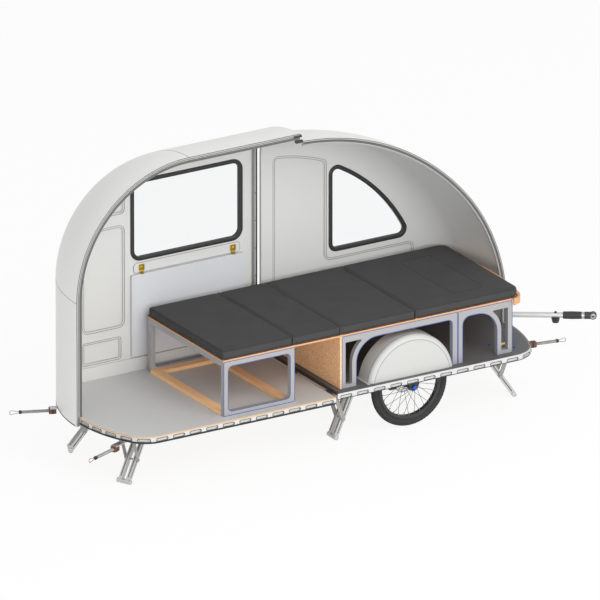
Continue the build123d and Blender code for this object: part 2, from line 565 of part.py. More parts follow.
foot = Pos(*along(FOOT_S, 0, 4 - BAR_R - CUP)) * cup
foot += rod(along(FOOT_S), along(FOOT_S, 0, BAR_R + 7), KNOB_R)
foot += rod(along(FOOT_S), along(FOOT_S, 0, BAR_R + 2), KNOB_R + 4)
put("tow_foot", foot - rod(along(FOOT_S - 60), along(FOOT_S + 40), BAR_R))

# Corner tie-downs
BLOCK_H, SLEEVE_R, WIRE_R = 13.0, 9.0, 1.8
# name, block x, block y, block z, tip x, tip y
TIES = (
    ("rear", REAR_X + 50, REAR_HALF - 157, REAR_RAIL - 42, REAR_X - 186, REAR_HALF - 59),
    ("front", TIP - 38, FRONT_HALF - 151, FRONT_RAIL + 15, TIP + 173, FRONT_HALF - 115),
)
blocks, springs, plates = [], [], []
for name, bx, by, bz, tx, ty in TIES:
    run = sqrt((tx - bx) ** 2 + (ty - by) ** 2)
    spot = Pos(bx, by, bz) * Rot(0, 0, degrees(atan2(ty - by, tx - bx)))
    blocks += pair(spot * box(-13, 20, -13, 13, -BLOCK_H, BLOCK_H))
    neck = 0.78 * run
    sleeve = rod((20, 0, 0), (neck, 0, 0), SLEEVE_R)
    wire = Wire(
        [
            Line((neck - 2, 0, -3), (run - 14, 0, -14)),
            ThreePointArc((run - 14, 0, -14), (run, 0, 0), (run - 14, 0, 14)),
            Line((run - 14, 0, 14), (neck - 2, 0, 3)),
        ]
    )
    start = Plane(origin=wire.position_at(0), z_dir=wire.tangent_at(0))
    loop = sweep(start * Circle(WIRE_R), path=wire, transition=Transition.ROUND)
    springs += pair(spot * (sleeve + loop))
    if name == "rear":
        foot = box(-84, 20, -18, 18, BLOCK_H, BLOCK_H + 8)
        plates += pair(spot * (foot + box(-84, -58, -18, 18, BLOCK_H + 8, REAR_RAIL - SEAL - bz)))
    else:
        plates += pair(spot * box(-46, -13, -12, 12, -10, 10) - [rise(front_plan(0), 0, ROOF)])
put("tie_blocks", Compound(blocks))
put("tie_springs", Compound(springs))
put("tie_plates", Compound(plates))
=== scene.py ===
"""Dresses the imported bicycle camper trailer: finishes, seals, cushions, tyres and small fittings.

Points are written as in the part's source, in millimetres: x from the wheel axle, y from the middle, z from
the ground. They are turned to metres in the row frame when a piece is made.
"""
import math

import bpy
import numpy as np
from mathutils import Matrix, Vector


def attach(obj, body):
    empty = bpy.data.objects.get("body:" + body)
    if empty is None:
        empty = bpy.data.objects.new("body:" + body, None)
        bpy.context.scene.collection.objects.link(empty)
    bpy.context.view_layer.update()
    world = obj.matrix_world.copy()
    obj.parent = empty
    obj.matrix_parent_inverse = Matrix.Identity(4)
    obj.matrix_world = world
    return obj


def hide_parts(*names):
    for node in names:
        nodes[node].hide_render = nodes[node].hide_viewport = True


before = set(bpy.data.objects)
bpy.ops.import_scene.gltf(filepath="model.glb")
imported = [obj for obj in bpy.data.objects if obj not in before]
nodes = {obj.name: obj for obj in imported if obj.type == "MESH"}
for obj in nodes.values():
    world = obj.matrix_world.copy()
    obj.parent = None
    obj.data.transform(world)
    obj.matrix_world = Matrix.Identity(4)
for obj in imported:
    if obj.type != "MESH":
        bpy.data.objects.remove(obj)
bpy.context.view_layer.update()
scene = bpy.context.scene
OFFSET = np.array([338.0, 0.0, 0.0])
FORE, LEFT, UP = np.eye(3)

# Sizes shared with the solids
REAR_X, REAR_HALF, ROOF, REAR_ARC = -2018.0, 508.0, 1784.2, 754.0
REAR_BOW, REAR_CORNER, WALL = 860.0, 190.0, 20.0
TIP, FRONT_HALF, FRONT_BOW, FRONT_CORNER = 885.0, 485.0, 1020.0, 178.0
TURN_X, TURN_Z, NOSE_R, NOSE_TURN = -315.0, 428.0, 1200.0, 40.0
CROWN_X, CROWN_Z, ROOF_R = -544.8, 235.2, 1500.0
NOSE_X, SEAM_X, FRONT_EDGE, REAR_EDGE = -499.8, -519.8, -555.8, -569.8
FRONT_TOP, REAR_TOP, SKIRT = 344.0, 328.0, 272.0
FRONT_RAIL, REAR_RAIL, RAIL = 307.0, 291.0, 28.0
WHEEL_R, WHEEL_Y, TYRE_R, DISC_INSET, SPOKES = 253.0, 357.5, 25.0, 56.5, 32
BED_HALF = 424.0
BAR_BEND, BAR_Y, BAR_Z, BAR_YAW, BAR_REACH = 1010.0, 372.0, 245.0, math.radians(33.0), 588.0
TURN_BACK, TURN_UP = REAR_X + REAR_ARC, ROOF - REAR_ARC


# Surfaces made as arrays, with three spacings for the points along a path
WIDE, STEP, FINE = 25.0, 20.0, 16.0


def unit(rows):
    """Rows of numbers scaled to length one."""
    return rows / np.linalg.norm(rows, axis=-1, keepdims=True)


def carried(path, profile, up, closed=False, cap=True):
    """A profile carried along a path: its first number goes along tangent cross up, its second along up."""
    path = np.asarray(path, float)
    tangent = np.roll(path, -1, 0) - np.roll(path, 1, 0) if closed else np.gradient(path, axis=0)
    side = unit(np.cross(tangent, np.broadcast_to(up, path.shape)))
    lift = unit(np.cross(side, tangent))
    profile = np.asarray(profile, float)
    grid = path[:, None] + side[:, None] * profile[None, :, :1] + lift[:, None] * profile[None, :, 1:]
    return grid if closed or not cap else capped(grid)


def capped(grid):
    """A tube of rings closed by a point at the middle of its first and last ring."""
    ends = [np.broadcast_to(ring.mean(0), ring.shape)[None] for ring in (grid[0], grid[-1])]
    return np.concatenate([ends[0], grid, ends[1]])


def lathe(profile, centre, axis, count):
    """Rings of the profile's radius at the profile's height along an axis, turned about it."""
    axis = unit(np.asarray(axis, float))
    first = unit(np.cross(axis, UP if abs(axis[2]) < 0.9 else FORE))
    second = np.cross(axis, first)
    turn = np.arange(count) * 2 * np.pi / count
    spin = np.cos(turn)[:, None] * first + np.sin(turn)[:, None] * second
    profile = np.asarray(profile, float)
    return np.asarray(centre, float) + profile[:, 0, None, None] * spin + profile[:, 1, None, None] * axis


def strip(path, section, up, mat, closed=False):
    """A patch for a piece: a section carried along a path, its ends capped, or the path a closed loop."""
    return carried(path, section, up, closed), closed, True, mat


def turned(profile, centre, axis, count, mat):
    """A patch for a piece: a profile turned about an axis."""
    return lathe(profile, centre, axis, count), False, True, mat


def circle(radius, count):
    """Points of a round section."""
    turn = np.arange(count) * 2 * np.pi / count
    return np.stack([radius * np.cos(turn), radius * np.sin(turn)], 1)


def arc(cx, cy, radius, start, end, count):
    """Points along an arc, its angles in degrees."""
    turn = np.radians(np.linspace(start, end, count))
    return np.stack([cx + radius * np.cos(turn), cy + radius * np.sin(turn)], 1)


def rounded(corners, radii, count=9):
    """A closed outline with each corner replaced by an arc that touches both its sides."""
    corners = np.asarray(corners, float)
    out = []
    for before, here, after, radius in zip(np.roll(corners, 1, 0), corners, np.roll(corners, -1, 0), radii):
        a, b = unit(before - here), unit(after - here)
        half = math.acos(float(np.clip(a @ b, -1, 1))) / 2
        middle = here + unit(a + b) * radius / math.sin(half)
        p, q = here + a * radius / math.tan(half) - middle, here + b * radius / math.tan(half) - middle
        blend = np.linspace(0, 1, count)[:, None]
        ray = p * (1 - blend) + q * blend
        out.append(middle + unit(ray) * radius)
    return np.concatenate(out)


def rounded_box(x0, x1, z0, z1, bend, count=9):
    """A rectangle outline with its four corners rounded alike."""
    return rounded([(x0, z0), (x1, z0), (x1, z1), (x0, z1)], [bend] * 4, count)


def inset_box(x0, x1, z0, z1, bend, inset):
    """A rounded rectangle outline drawn in by an inset, its corners not under 3 mm."""
    return rounded_box(x0 + inset, x1 - inset, z0 + inset, z1 - inset, max(bend - inset, 3))


def flat_line(half, low, high):
    """Section of a flat line: its half width, its foot and its top measured from the surface."""
    return [(-half, low), (-half, high), (half, high), (half, low)]


def evenly(path, step, closed=False):
    """A path resampled at about an even step along its own length."""
    path = np.asarray(path, float)
    if closed:
        path = np.concatenate([path, path[:1]])
    gone = np.concatenate([[0], np.cumsum(np.linalg.norm(np.diff(path, axis=0), axis=1))])
    count = max(int(round(gone[-1] / step)), 2)
    at = np.linspace(0, gone[-1], count + 1)
    if closed:
        at = at[:-1]
    return np.stack([np.interp(at, gone, path[:, i]) for i in range(path.shape[1])], 1)


def upright(points, y):
    """Side-view points set upright at a distance across the trailer."""
    points = np.asarray(points, float)
    return np.stack([points[:, 0], np.full(len(points), float(y)), points[:, 1]], 1)


def level(points, z):
    """Plan points laid at a height."""
    points = np.asarray(points, float)
    return np.concatenate([points, np.full((len(points), 1), float(z))], 1)


def crosswise(points, x):
    """Rear-view points set across the trailer at a distance along it."""
    points = np.asarray(points, float)
    return np.concatenate([np.full((len(points), 1), float(x)), points], 1)


def mirrored(patches):
    """The patches together with their mirror images on the other side of the trailer."""
    flip = np.array([1.0, -1.0, 1.0])
    return patches + [(grid[::-1] * flip, u, v, mat) for grid, u, v, mat in patches]


def crown_end(half, tip, bow, corner, way, count=24):
    """Plan points of a bowed end from one side round to the other, wide bow and corner arcs."""
    lean = math.degrees(math.asin((half - corner) / (bow - corner)))
    cx = (bow - corner) * math.cos(math.radians(lean)) - bow
    one = arc(cx, half - corner, corner, 90, lean, count)
    two = arc(-bow, 0, bow, lean, -lean, count)
    three = arc(cx, corner - half, corner, -lean, -90, count)
    out = np.concatenate([one, two[1:], three[1:]])
    return np.stack([tip + way * out[:, 0], out[:, 1]], 1)


def placed(name, data):
    """A new object in the scene that shows some data."""
    made = bpy.data.objects.new(name, data)
    scene.collection.objects.link(made)
    return made


def piece(name, patches, body="trailer", sharp=35.0):
    """One object made from grids of points, each grid with its own wrapping and finish, riding on a body."""
    verts, quads, owner, mats = [], [], [], []
    start = 0
    for grid, wrap_u, wrap_v, mat in patches:
        nu, nv = grid.shape[:2]
        a, b = np.meshgrid(np.arange(nu - (not wrap_u)), np.arange(nv - (not wrap_v)), indexing="ij")
        c, d = (a + 1) % nu, (b + 1) % nv
        face = np.stack([a * nv + b, c * nv + b, c * nv + d, a * nv + d], -1).reshape(-1, 4) + start
        if mat not in mats:
            mats.append(mat)
        verts.append(grid.reshape(-1, 3))
        quads.append(face)
        owner.append(np.full(len(face), mats.index(mat)))
        start += nu * nv
    points = (np.concatenate(verts) + OFFSET) / 1000
    quads, owner = np.concatenate(quads), np.concatenate(owner)
    mesh = bpy.data.meshes.new(name)
    mesh.vertices.add(len(points))
    mesh.vertices.foreach_set("co", points.ravel())
    mesh.loops.add(quads.size)
    mesh.loops.foreach_set("vertex_index", quads.ravel().astype(np.int32))
    mesh.polygons.add(len(quads))
    mesh.polygons.foreach_set("loop_start", np.arange(0, quads.size, 4, dtype=np.int32))
    mesh.polygons.foreach_set("material_index", owner.astype(np.int32))
    mesh.polygons.foreach_set("use_smooth", np.ones(len(quads), bool))
    for mat in mats:
        mesh.materials.append(mat)
    mesh.update(calc_edges=True)
    mesh.set_sharp_from_angle(angle=math.radians(sharp))
    made = placed(name, mesh)
    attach(made, body)
    return made


# Shader groups shared by the finishes
def group(name, inputs, outputs):
    """An empty shader node group with named number inputs and named outputs."""
    tree = bpy.data.node_groups.new(name, "ShaderNodeTree")
    for label, value in inputs:
        tree.interface.new_socket(label, in_out="INPUT", socket_type="NodeSocketFloat").default_value = value
    for label in outputs:
        tree.interface.new_socket(label, in_out="OUTPUT", socket_type="NodeSocketFloat")
    return tree, tree.nodes.new("NodeGroupInput"), tree.nodes.new("NodeGroupOutput")


def put(tree, made, key, value):
    """Sets or links one input socket, found by its number or its label."""
    socket = made.inputs[int(key[1:])] if key[0] == "i" and key[1:].isdigit() else made.inputs[key]
    if isinstance(value, bpy.types.NodeSocket):
        tree.links.new(value, socket)
    else:
        socket.default_value = value


def node(tree, kind, **values):
    """A new node whose settings and sockets take the given values or links."""
    made = tree.nodes.new(kind)
    for key, value in values.items():
        if hasattr(made, key):
            setattr(made, key, value)
        else:
            put(tree, made, key.replace("_", " "), value)
    return made


def calc(tree, operation, a, b=0.0, c=0.0):
    """One Math node's result."""
    return node(tree, "ShaderNodeMath", operation=operation, i0=a, i1=b, i2=c).outputs[0]


def spot(tree, scale=(1.0, 1.0, 1.0)):
    """Object coordinates stretched along the axes."""
    where = tree.nodes.new("ShaderNodeTexCoord").outputs["Object"]
    return node(tree, "ShaderNodeMapping", Vector=where, Scale=scale).outputs[0]


def spread(tree, come, noise):
    """A noise spread about a half by the group's amount."""
    lean = calc(tree, "SUBTRACT", noise.outputs["Fac"], 0.5)
    return calc(tree, "MULTIPLY_ADD", lean, come.outputs["Amount"], 0.5)


def mottle_group():
    """Broad noise patches and a fine noise grain, both spread about a half and scaled by an amount."""
    tree, come, go = group("mottle", [("Size", 12.0), ("Amount", 0.3)], ["Patch", "Grain"])
    for label, scale, detail in (("Patch", come.outputs["Size"], 3.0), ("Grain", 900.0, 2.0)):
        noise = node(tree, "ShaderNodeTexNoise", Vector=spot(tree), Scale=scale, Detail=detail)
        put(tree, go, label, spread(tree, come, noise))
    return tree


def weave_group():
    """Two sets of crossing sine threads, the higher of the two showing, blurred by noise."""
    tree, come, go = group("weave", [("Thread", 700.0)], ["Patch", "Grain"])
    split = node(tree, "ShaderNodeSeparateXYZ", Vector=spot(tree))
    height = []
    for main, other, phase in (("X", "Y", 1.57), ("Y", "X", 0.0)):
        step = calc(tree, "MULTIPLY", split.outputs[main], come.outputs["Thread"])
        over = calc(tree, "MULTIPLY", split.outputs[other], come.outputs["Thread"])
        ridge = calc(tree, "ABSOLUTE", calc(tree, "SINE", calc(tree, "ADD", step, split.outputs["Z"])))
        cross = calc(tree, "SINE", calc(tree, "ADD", over, phase))
        height.append(calc(tree, "MULTIPLY_ADD", cross, 0.3, ridge))
    cloud = node(tree, "ShaderNodeTexNoise", Vector=spot(tree), Scale=9.0, Detail=4.0)
    fuzz = node(tree, "ShaderNodeTexNoise", Vector=spot(tree), Scale=420.0, Detail=2.0)
    half = calc(tree, "MULTIPLY", cloud.outputs["Fac"], 0.5)
    put(tree, go, "Patch", calc(tree, "MULTIPLY_ADD", fuzz.outputs["Fac"], 0.5, half))
    put(tree, go, "Grain", calc(tree, "MAXIMUM", *height))
    return tree


def grain_group(name, stretch, fine):
    """Noise drawn out along one axis, as wood fibres or brush marks run."""
    tree, come, go = group(name, [("Size", 30.0), ("Amount", 0.8)], ["Patch", "Grain"])
    where, size = spot(tree, stretch), come.outputs["Size"]
    rings = node(tree, "ShaderNodeTexNoise", Vector=where, Scale=size, Detail=5.0, Distortion=0.6)
    lines = node(tree, "ShaderNodeTexNoise", Vector=where, Scale=fine, Detail=3.0)
    for label, noise in (("Patch", rings), ("Grain", lines)):
        put(tree, go, label, spread(tree, come, noise))
    return tree


def chip_group():
    """Flat chips of random tone, each a Voronoi cell, as in pressed board."""
    tree, come, go = group("chips", [("Size", 160.0)], ["Patch", "Grain"])
    where, size = spot(tree, (1.0, 0.6, 1.0)), come.outputs["Size"]
    cells = node(tree, "ShaderNodeTexVoronoi", Vector=where, Scale=size)
    split = node(tree, "ShaderNodeSeparateColor", Color=cells.outputs["Color"])
    put(tree, go, "Patch", split.outputs[0])
    put(tree, go, "Grain", split.outputs[1])
    return tree


def facing_group():
    """Object normal dotted with the way out from a middle point, and the normal's own upward part."""
    tree, come, go = group("facing", [(axis, 0.0) for axis in "XYZ"], ["Outside", "Upward"])
    coords = tree.nodes.new("ShaderNodeTexCoord")
    place, normal = coords.outputs["Object"], coords.outputs["Normal"]
    middle = node(tree, "ShaderNodeCombineXYZ", **{axis: come.outputs[axis] for axis in "XYZ"}).outputs[0]
    out = node(tree, "ShaderNodeVectorMath", operation="SUBTRACT", i0=place, i1=middle).outputs[0]
    dot = node(tree, "ShaderNodeVectorMath", operation="DOT_PRODUCT", i0=normal, i1=out)
    put(tree, go, "Outside", calc(tree, "GREATER_THAN", dot.outputs["Value"], 0.0))
    up = node(tree, "ShaderNodeSeparateXYZ", Vector=normal)
    put(tree, go, "Upward", up.outputs["Z"])
    return tree


MOTTLE, WEAVE, CHIPS, FACING = mottle_group(), weave_group(), chip_group(), facing_group()
WOOD = grain_group("wood_grain", (1.0, 9.0, 9.0), 240.0)
BRUSHED = grain_group("brushed", (1.0, 30.0, 30.0), 300.0)
GRIP, RELIEF = 0.16, 0.001


def blend(tree, factor, low, high):
    """A colour mixed from two by a factor."""
    low, high = [(*c, 1) if isinstance(c, (tuple, list)) else c for c in (low, high)]
    return node(tree, "ShaderNodeMix", data_type="RGBA", i0=factor, i6=low, i7=high).outputs[2]


def finish(name, colour, rough, shade=0.12, bump=0.05, source=None, accent=None, sockets=(), **values):
    """A surface whose colour drifts between two tones of itself, or to an accent, its grain giving relief.

    The pattern comes from a shared group. Numbers the same all over go straight on the shader.
    """
    mat = bpy.data.materials.new(name)
    mat.use_nodes = True
    tree = mat.node_tree
    bsdf = tree.nodes["Principled BSDF"]
    for key, value in sockets:
        bsdf.inputs[key].default_value = value
    spots = tree.nodes.new("ShaderNodeGroup")
    spots.node_tree = source or MOTTLE
    for key, value in values.items():
        spots.inputs[key].default_value = value
    dark = accent or [c * (1 - shade) for c in colour]
    light = [min(1, c * (1 + shade)) for c in colour]
    put(tree, bsdf, "Base Color", blend(tree, spots.outputs["Patch"], dark, light))
    put(tree, bsdf, "Roughness", calc(tree, "MULTIPLY_ADD", spots.outputs["Grain"], GRIP, rough - GRIP / 2))
    relief = node(tree, "ShaderNodeBump", Strength=bump, Distance=RELIEF, Height=spots.outputs["Grain"])
    put(tree, bsdf, "Normal", relief.outputs["Normal"])
    return mat


def edge_tone_and_inside_shade(mat, label, edge, other, middle=(0.0, 0.0, 0.0)):
    """Gives a finish a second colour where the facing group's output is under an edge value: the decks' wood
    on faces not facing up, and painted shade on the shell's inside faces.
    """
    tree = mat.node_tree
    socket = tree.nodes["Principled BSDF"].inputs["Base Color"]
    faces = tree.nodes.new("ShaderNodeGroup")
    faces.node_tree = FACING
    for key, value in zip("XYZ", middle):
        faces.inputs[key].default_value = value
    mask = calc(tree, "LESS_THAN", faces.outputs[label], edge)
    first = socket.links[0].from_socket
    tree.links.new(blend(tree, mask, first, other), socket)


def metal(share):
    """The shader's setting for a metal: its metallic share."""
    return (("Metallic", share),)


SHELL = finish("shell_laminate_shaded_inside", (0.80, 0.80, 0.785), 0.4, shade=0.015, bump=0.03, Size=3.0)
# The shell's inside faces take a darker grey: painted shade standing in for the dimmer light inside the
# shell.
edge_tone_and_inside_shade(SHELL, "Outside", 0.5, (0.60, 0.60, 0.585), (-0.45, 0.05, 0.75))
FLANGE = finish("flange_laminate", (0.30, 0.30, 0.295), 0.45, shade=0.03, Size=6.0)
TRIM_GREY = finish("trim_grey", (0.15, 0.15, 0.147), 0.5, shade=0.04, Size=20.0)
TRIM_PALE = finish("trim_pale", (0.38, 0.38, 0.375), 0.45, shade=0.03, Size=20.0)
BLACK_RUBBER = finish("black_rubber", (0.018, 0.018, 0.019), 0.6, bump=0.15, Size=30.0)
BLACK_COAT = finish("black_coat", (0.025, 0.025, 0.027), 0.42, bump=0.1, Size=20.0)
REAR_DECK = finish("rear_deck_coat", (0.54, 0.54, 0.54), 0.55, shade=0.04, bump=0.12, Size=5.0)
edge_tone_and_inside_shade(REAR_DECK, "Upward", 0.5, (0.62, 0.42, 0.22))
FRONT_DECK = finish("front_deck_coat", (0.105, 0.105, 0.108), 0.6, shade=0.08, bump=0.12, Size=5.0)
edge_tone_and_inside_shade(FRONT_DECK, "Upward", 0.5, (0.45, 0.3, 0.16))
RAIL_METAL = finish("rail_metal", (0.62, 0.62, 0.62), 0.45, shade=0.03, source=BRUSHED, sockets=metal(0.25))
FRAME_METAL = finish("frame_metal", (0.37, 0.37, 0.375), 0.45, shade=0.04, source=BRUSHED, sockets=metal(0.3))
CHIPBOARD = finish("chipboard", (0.95, 0.58, 0.33), 0.6, source=CHIPS, accent=(0.72, 0.38, 0.19), Size=240.0)
ORANGE_PLY = finish("orange_ply", (0.66, 0.35, 0.17), 0.55, source=WOOD, shade=0.25, bump=0.08)
PALE_WOOD = finish("pale_wood", (0.96, 0.56, 0.29), 0.55, source=WOOD, shade=0.14, bump=0.08)
SOFT = (("Sheen Weight", 0.03), ("Specular IOR Level", 0.2))
CLEAR = (("Transmission Weight", 1.0), ("IOR", 1.03))
CLOTH = finish("charcoal_cloth", (0.054, 0.054, 0.055), 0.9, source=WEAVE, shade=0.3, bump=0.3, sockets=SOFT)
PIPING = finish("charcoal_piping", (0.018, 0.018, 0.019), 0.8, bump=0.2, Size=60.0)
TYRE = finish("tyre_rubber", (0.016, 0.016, 0.016), 0.72, bump=0.2, Size=30.0)
DISC = finish("brake_steel", (0.62, 0.62, 0.62), 0.28, source=BRUSHED, sockets=metal(0.9))
BLUE = finish("blue_anodised", (0.012, 0.10, 0.55), 0.3, sockets=metal(0.2))
LEG_METAL = finish("leg_metal", (0.52, 0.52, 0.52), 0.4, source=BRUSHED, shade=0.06, sockets=metal(0.55))
GROOVE = finish("groove_shade", (0.035, 0.035, 0.035), 0.6, Size=20.0)
BRACE_METAL = finish("brace_metal", (0.33, 0.325, 0.305), 0.45, shade=0.1, sockets=metal(0.3))
BRASS = finish("brass", (0.62, 0.45, 0.08), 0.3, source=BRUSHED, shade=0.1, sockets=metal(0.9))
TABLE = finish("table_laminate", (0.58, 0.585, 0.605), 0.5, shade=0.03, Size=6.0)
ARCH = finish("arch_plastic", (0.52, 0.52, 0.505), 0.5, shade=0.03, Size=5.0)
TIE_BROWN = finish("tie_brown", (0.13, 0.045, 0.022), 0.6, bump=0.15, Size=40.0)
STEEL = finish("spring_steel", (0.46, 0.46, 0.46), 0.35, shade=0.1, sockets=metal(0.9))
COPPER = finish("coated_wire", (0.30, 0.15, 0.08), 0.45, sockets=metal(0.5))
PANE = finish("window_pane", (0.93, 0.95, 0.95), 0.08, shade=0.01, bump=0.0, sockets=CLEAR)
SHADOW = finish("shadow_line", (0.15, 0.15, 0.145), 0.6, Size=20.0)
SLOT_PALE = finish("slot_pad", (0.60, 0.60, 0.60), 0.5, Size=40.0)
EDGE_BLUE = finish("blue_edging", (0.05, 0.085, 0.30), 0.5, Size=30.0)

SIDES = [(n, s) for n in ("rear", "mid", "front") for s in ("left", "right")]
DRESS = (
    (SHELL, ["rear_shell", "front_shell", "wall_skirting"]),
    (FLANGE, ["shell_flanges"]),
    (BLACK_RUBBER, ["window_seals", "rear_rail_seal", "tow_boot", "tow_foot"]),
    (TRIM_PALE, ["seam_seal"]),
    (PANE, ["window_panes"]),
    (REAR_DECK, ["rear_floor"]),
    (FRONT_DECK, ["front_floor"]),
    (RAIL_METAL, ["rear_rail", "front_rail", "floor_beams"]),
    (BLACK_COAT, ["floor_hinges", "axle_plates", "brake_calipers", "leg_brackets"]),
    (BLACK_COAT, ["wheel_left", "wheel_right", "tow_hitch"]),
    (TABLE, ["wall_table"]),
    (BRASS, ["table_clips"]),
    (ARCH, ["wheel_arches"]),
    (FRAME_METAL, ["rear_bed_frame", "wheel_bed_frames", "front_bed_frames"]),
    (PALE_WOOD, ["rear_bed_battens"]),
    (ORANGE_PLY, ["bed_boards", "nose_board"]),
    (CHIPBOARD, ["bed_bulkhead"]),
    (CLOTH, ["cushion_rear", "cushion_waist", "cushion_middle", "cushion_front"]),
    (TYRE, ["tyre_left", "tyre_right"]),
    (DISC, ["brake_disc_left", "brake_disc_right"]),
    (BLUE, ["axle_caps"]),
    (LEG_METAL, [f"leg_{n}_{s}" for n, s in SIDES] + ["tow_bar", "tow_bar_clamps"]),
    (BRACE_METAL, [f"brace_{n}_{s}" for n, s in SIDES]),
    (TIE_BROWN, ["tie_blocks"]),
    (STEEL, ["tie_springs", "tie_plates"]),
)
for mat, names in DRESS:
    for name in names:
        nodes[name].data.materials.clear()
        nodes[name].data.materials.append(mat)

# Window seals: a rounded rubber section carried round each opening
INNER, FRONT_IN, SASH = REAR_HALF - WALL, FRONT_HALF - WALL, 24.0
WINDOW_BACK, WINDOW_REACH, WINDOW_BEND = 103.0, 483.7, 70.0
WINDOW_TOP = TURN_UP + math.sqrt(WINDOW_REACH**2 - WINDOW_BACK**2) - 2.6
WINDOW = (TURN_BACK - WINDOW_BACK, SEAM_X - 91, REAR_TOP + 668, WINDOW_TOP)
ARC_Z, SILL_X, SILL_Z = FRONT_TOP + 16, NOSE_X + 455, FRONT_TOP + 460
ARC_R = CROWN_Z + ROOF_R - ARC_Z - 265.0


def light_path(inset, radius=55.0):
    """Front window outline: a sill, an upright and an arc about a point on the seam, corners rounded."""
    r, x0, z0, c = ARC_R - inset, SILL_X + inset, SILL_Z + inset, radius - inset
    low = (NOSE_X + math.sqrt((r - c) ** 2 - (z0 + c - ARC_Z) ** 2), z0 + c)
    high = (x0 + c, ARC_Z + math.sqrt((r - c) ** 2 - (x0 + c - NOSE_X) ** 2))
    a = math.degrees(math.atan2(low[1] - ARC_Z, low[0] - NOSE_X))
    b = math.degrees(math.atan2(high[1] - ARC_Z, high[0] - NOSE_X))
    return np.concatenate([
        arc(x0 + c, z0 + c, c, 180, 270, 9), arc(*low, c, -90, a, 13),
        arc(NOSE_X, ARC_Z, r, a, b, 40)[1:], arc(*high, c, b, 180, 13)[1:],
    ])


def seal_section(inside, outside):
    """Closed section of a window rubber: a fat rounded bead on the inside, a thin lip on the outside face."""
    bead = [(-12, 0), (-13.5, 3.0), (-11, 6.5), (-4, 7.6), (5, 6.6), (11, 3.0), (12, 0)]
    lip = [(11, 1.0), (12, -2.2), (4, -3.0), (-6, -2.8), (-12, -1.2)]
    near, far = [(a, inside + b) for a, b in bead], [(a, outside + b) for a, b in lip]
    mid = (inside + outside) / 2
    return np.array(near + [(11.5, mid)] + far + [(-11.5, mid)])


seals = []
for outline, inside, outside in (
    (inset_box(*WINDOW, WINDOW_BEND, SASH / 2), INNER, REAR_HALF),
    (light_path(SASH / 2), FRONT_IN, FRONT_HALF),
):
    section = seal_section(-inside, -outside)
    seals.append(strip(upright(outline, 0), section, -LEFT, BLACK_RUBBER, closed=True))
window_rubber = piece("window_rubber", seals, sharp=50)
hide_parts("window_seals")

# Trims on the cut edges: pale and grey bands parted by dark grooves, carried round each half-shell's outline
rear_edge = np.concatenate([
    [(REAR_X, REAR_TOP + 2)], arc(TURN_BACK, TURN_UP, REAR_ARC, 180, 90, 60), [(SEAM_X, ROOF)],
])
front_edge = np.concatenate([
    [(NOSE_X, CROWN_Z + ROOF_R - 0.7)], arc(CROWN_X, CROWN_Z, ROOF_R, 88, NOSE_TURN, 50),
    arc(TURN_X, TURN_Z, NOSE_R, NOSE_TURN, 0, 50)[1:], [(TIP, FRONT_TOP + 2)],
])


def edge_trim(outline, bands, groove=3.2):
    """Patches across an edge: before each band a dark groove 0.5 mm proud, the bands 1.5 mm proud."""
    path = upright(evenly(outline, WIDE), 0)
    out, at = [], 0.3
    for width, mat in bands:
        dark = [(at, 0.5), (at + groove + 0.2, 0.5)]
        at, end = at + groove, at + groove + width
        band = [(at, -0.3), (at, 1.1), (at + 0.5, 1.5), (end - 0.5, 1.5), (end, 1.1), (end, -0.3)]
        for section, look in ((dark, GROOVE), (band, mat)):
            out.append((carried(path, section, -LEFT, cap=False), False, False, look))
        at = end
    return out


rear_foot = np.array([(REAR_X, SKIRT + 1.0), (REAR_X, (SKIRT + REAR_TOP) / 2), (REAR_X, REAR_TOP + 2.0)])
rear_bands = edge_trim(rear_edge, ((7.5, TRIM_PALE), (5.0, TRIM_PALE), (5.0, TRIM_GREY), (5.0, TRIM_GREY)))
rear_bands += edge_trim(rear_foot, ((6.5, TRIM_PALE), (5.5, TRIM_GREY)))
piece("rear_edge_trim", rear_bands)
front_bands = edge_trim(front_edge, ((6.0, TRIM_PALE), (7.0, TRIM_GREY), (4.5, TRIM_PALE)))
BEAD, BEAD_PITCH, BEAD_IN = [(3.2, 1.2), (2.6, 2.6), (0.1, 3.0)], 15.0, 15.8
bead_row = upright(evenly(front_edge, BEAD_PITCH), 0)
bead_row += unit(np.cross(np.gradient(bead_row, axis=0), -LEFT)) * BEAD_IN
front_bands += [turned(BEAD, place, -LEFT, 8, GROOVE) for place in bead_row[1:-1]]
piece("front_edge_trim", front_bands)


# Seam between the shells: a pillar with a rubber line each side, up the wall and over under the roof
def section_path(off, z0):
    """Half outline of the rear shell's cross-section, drawn in by an offset, from a height to the middle."""
    half, top, bow, corner = REAR_HALF - off, ROOF - off, REAR_BOW - off, REAR_CORNER - off
    lean = math.degrees(math.asin((half - corner) / (bow - corner)))
    cz = top - bow + (bow - corner) * math.cos(math.radians(lean))
    turn = arc(half - corner, cz, corner, 0, 90 - lean, 16)
    over = arc(0, top - bow, bow, 90 - lean, 90, 24)
    return np.concatenate([[(half, z0)], turn, over[1:]])


def pillar(x0, x1, off, rise, mat):
    """A flat rounded strip between two stations, lying on the inside of the rear shell."""
    half = section_path(off, FRONT_TOP + 3)
    path = evenly(crosswise(half[half[:, 0] > 13.0], (x0 + x1) / 2), WIDE)
    w = (x1 - x0) / 2
    section = [(-w, 0), (-w, rise - 1), (1 - w, rise), (w - 1, rise), (w, rise - 1), (w, 0)]
    return strip(path, section, np.cross(FORE, np.gradient(path, axis=0)), mat)


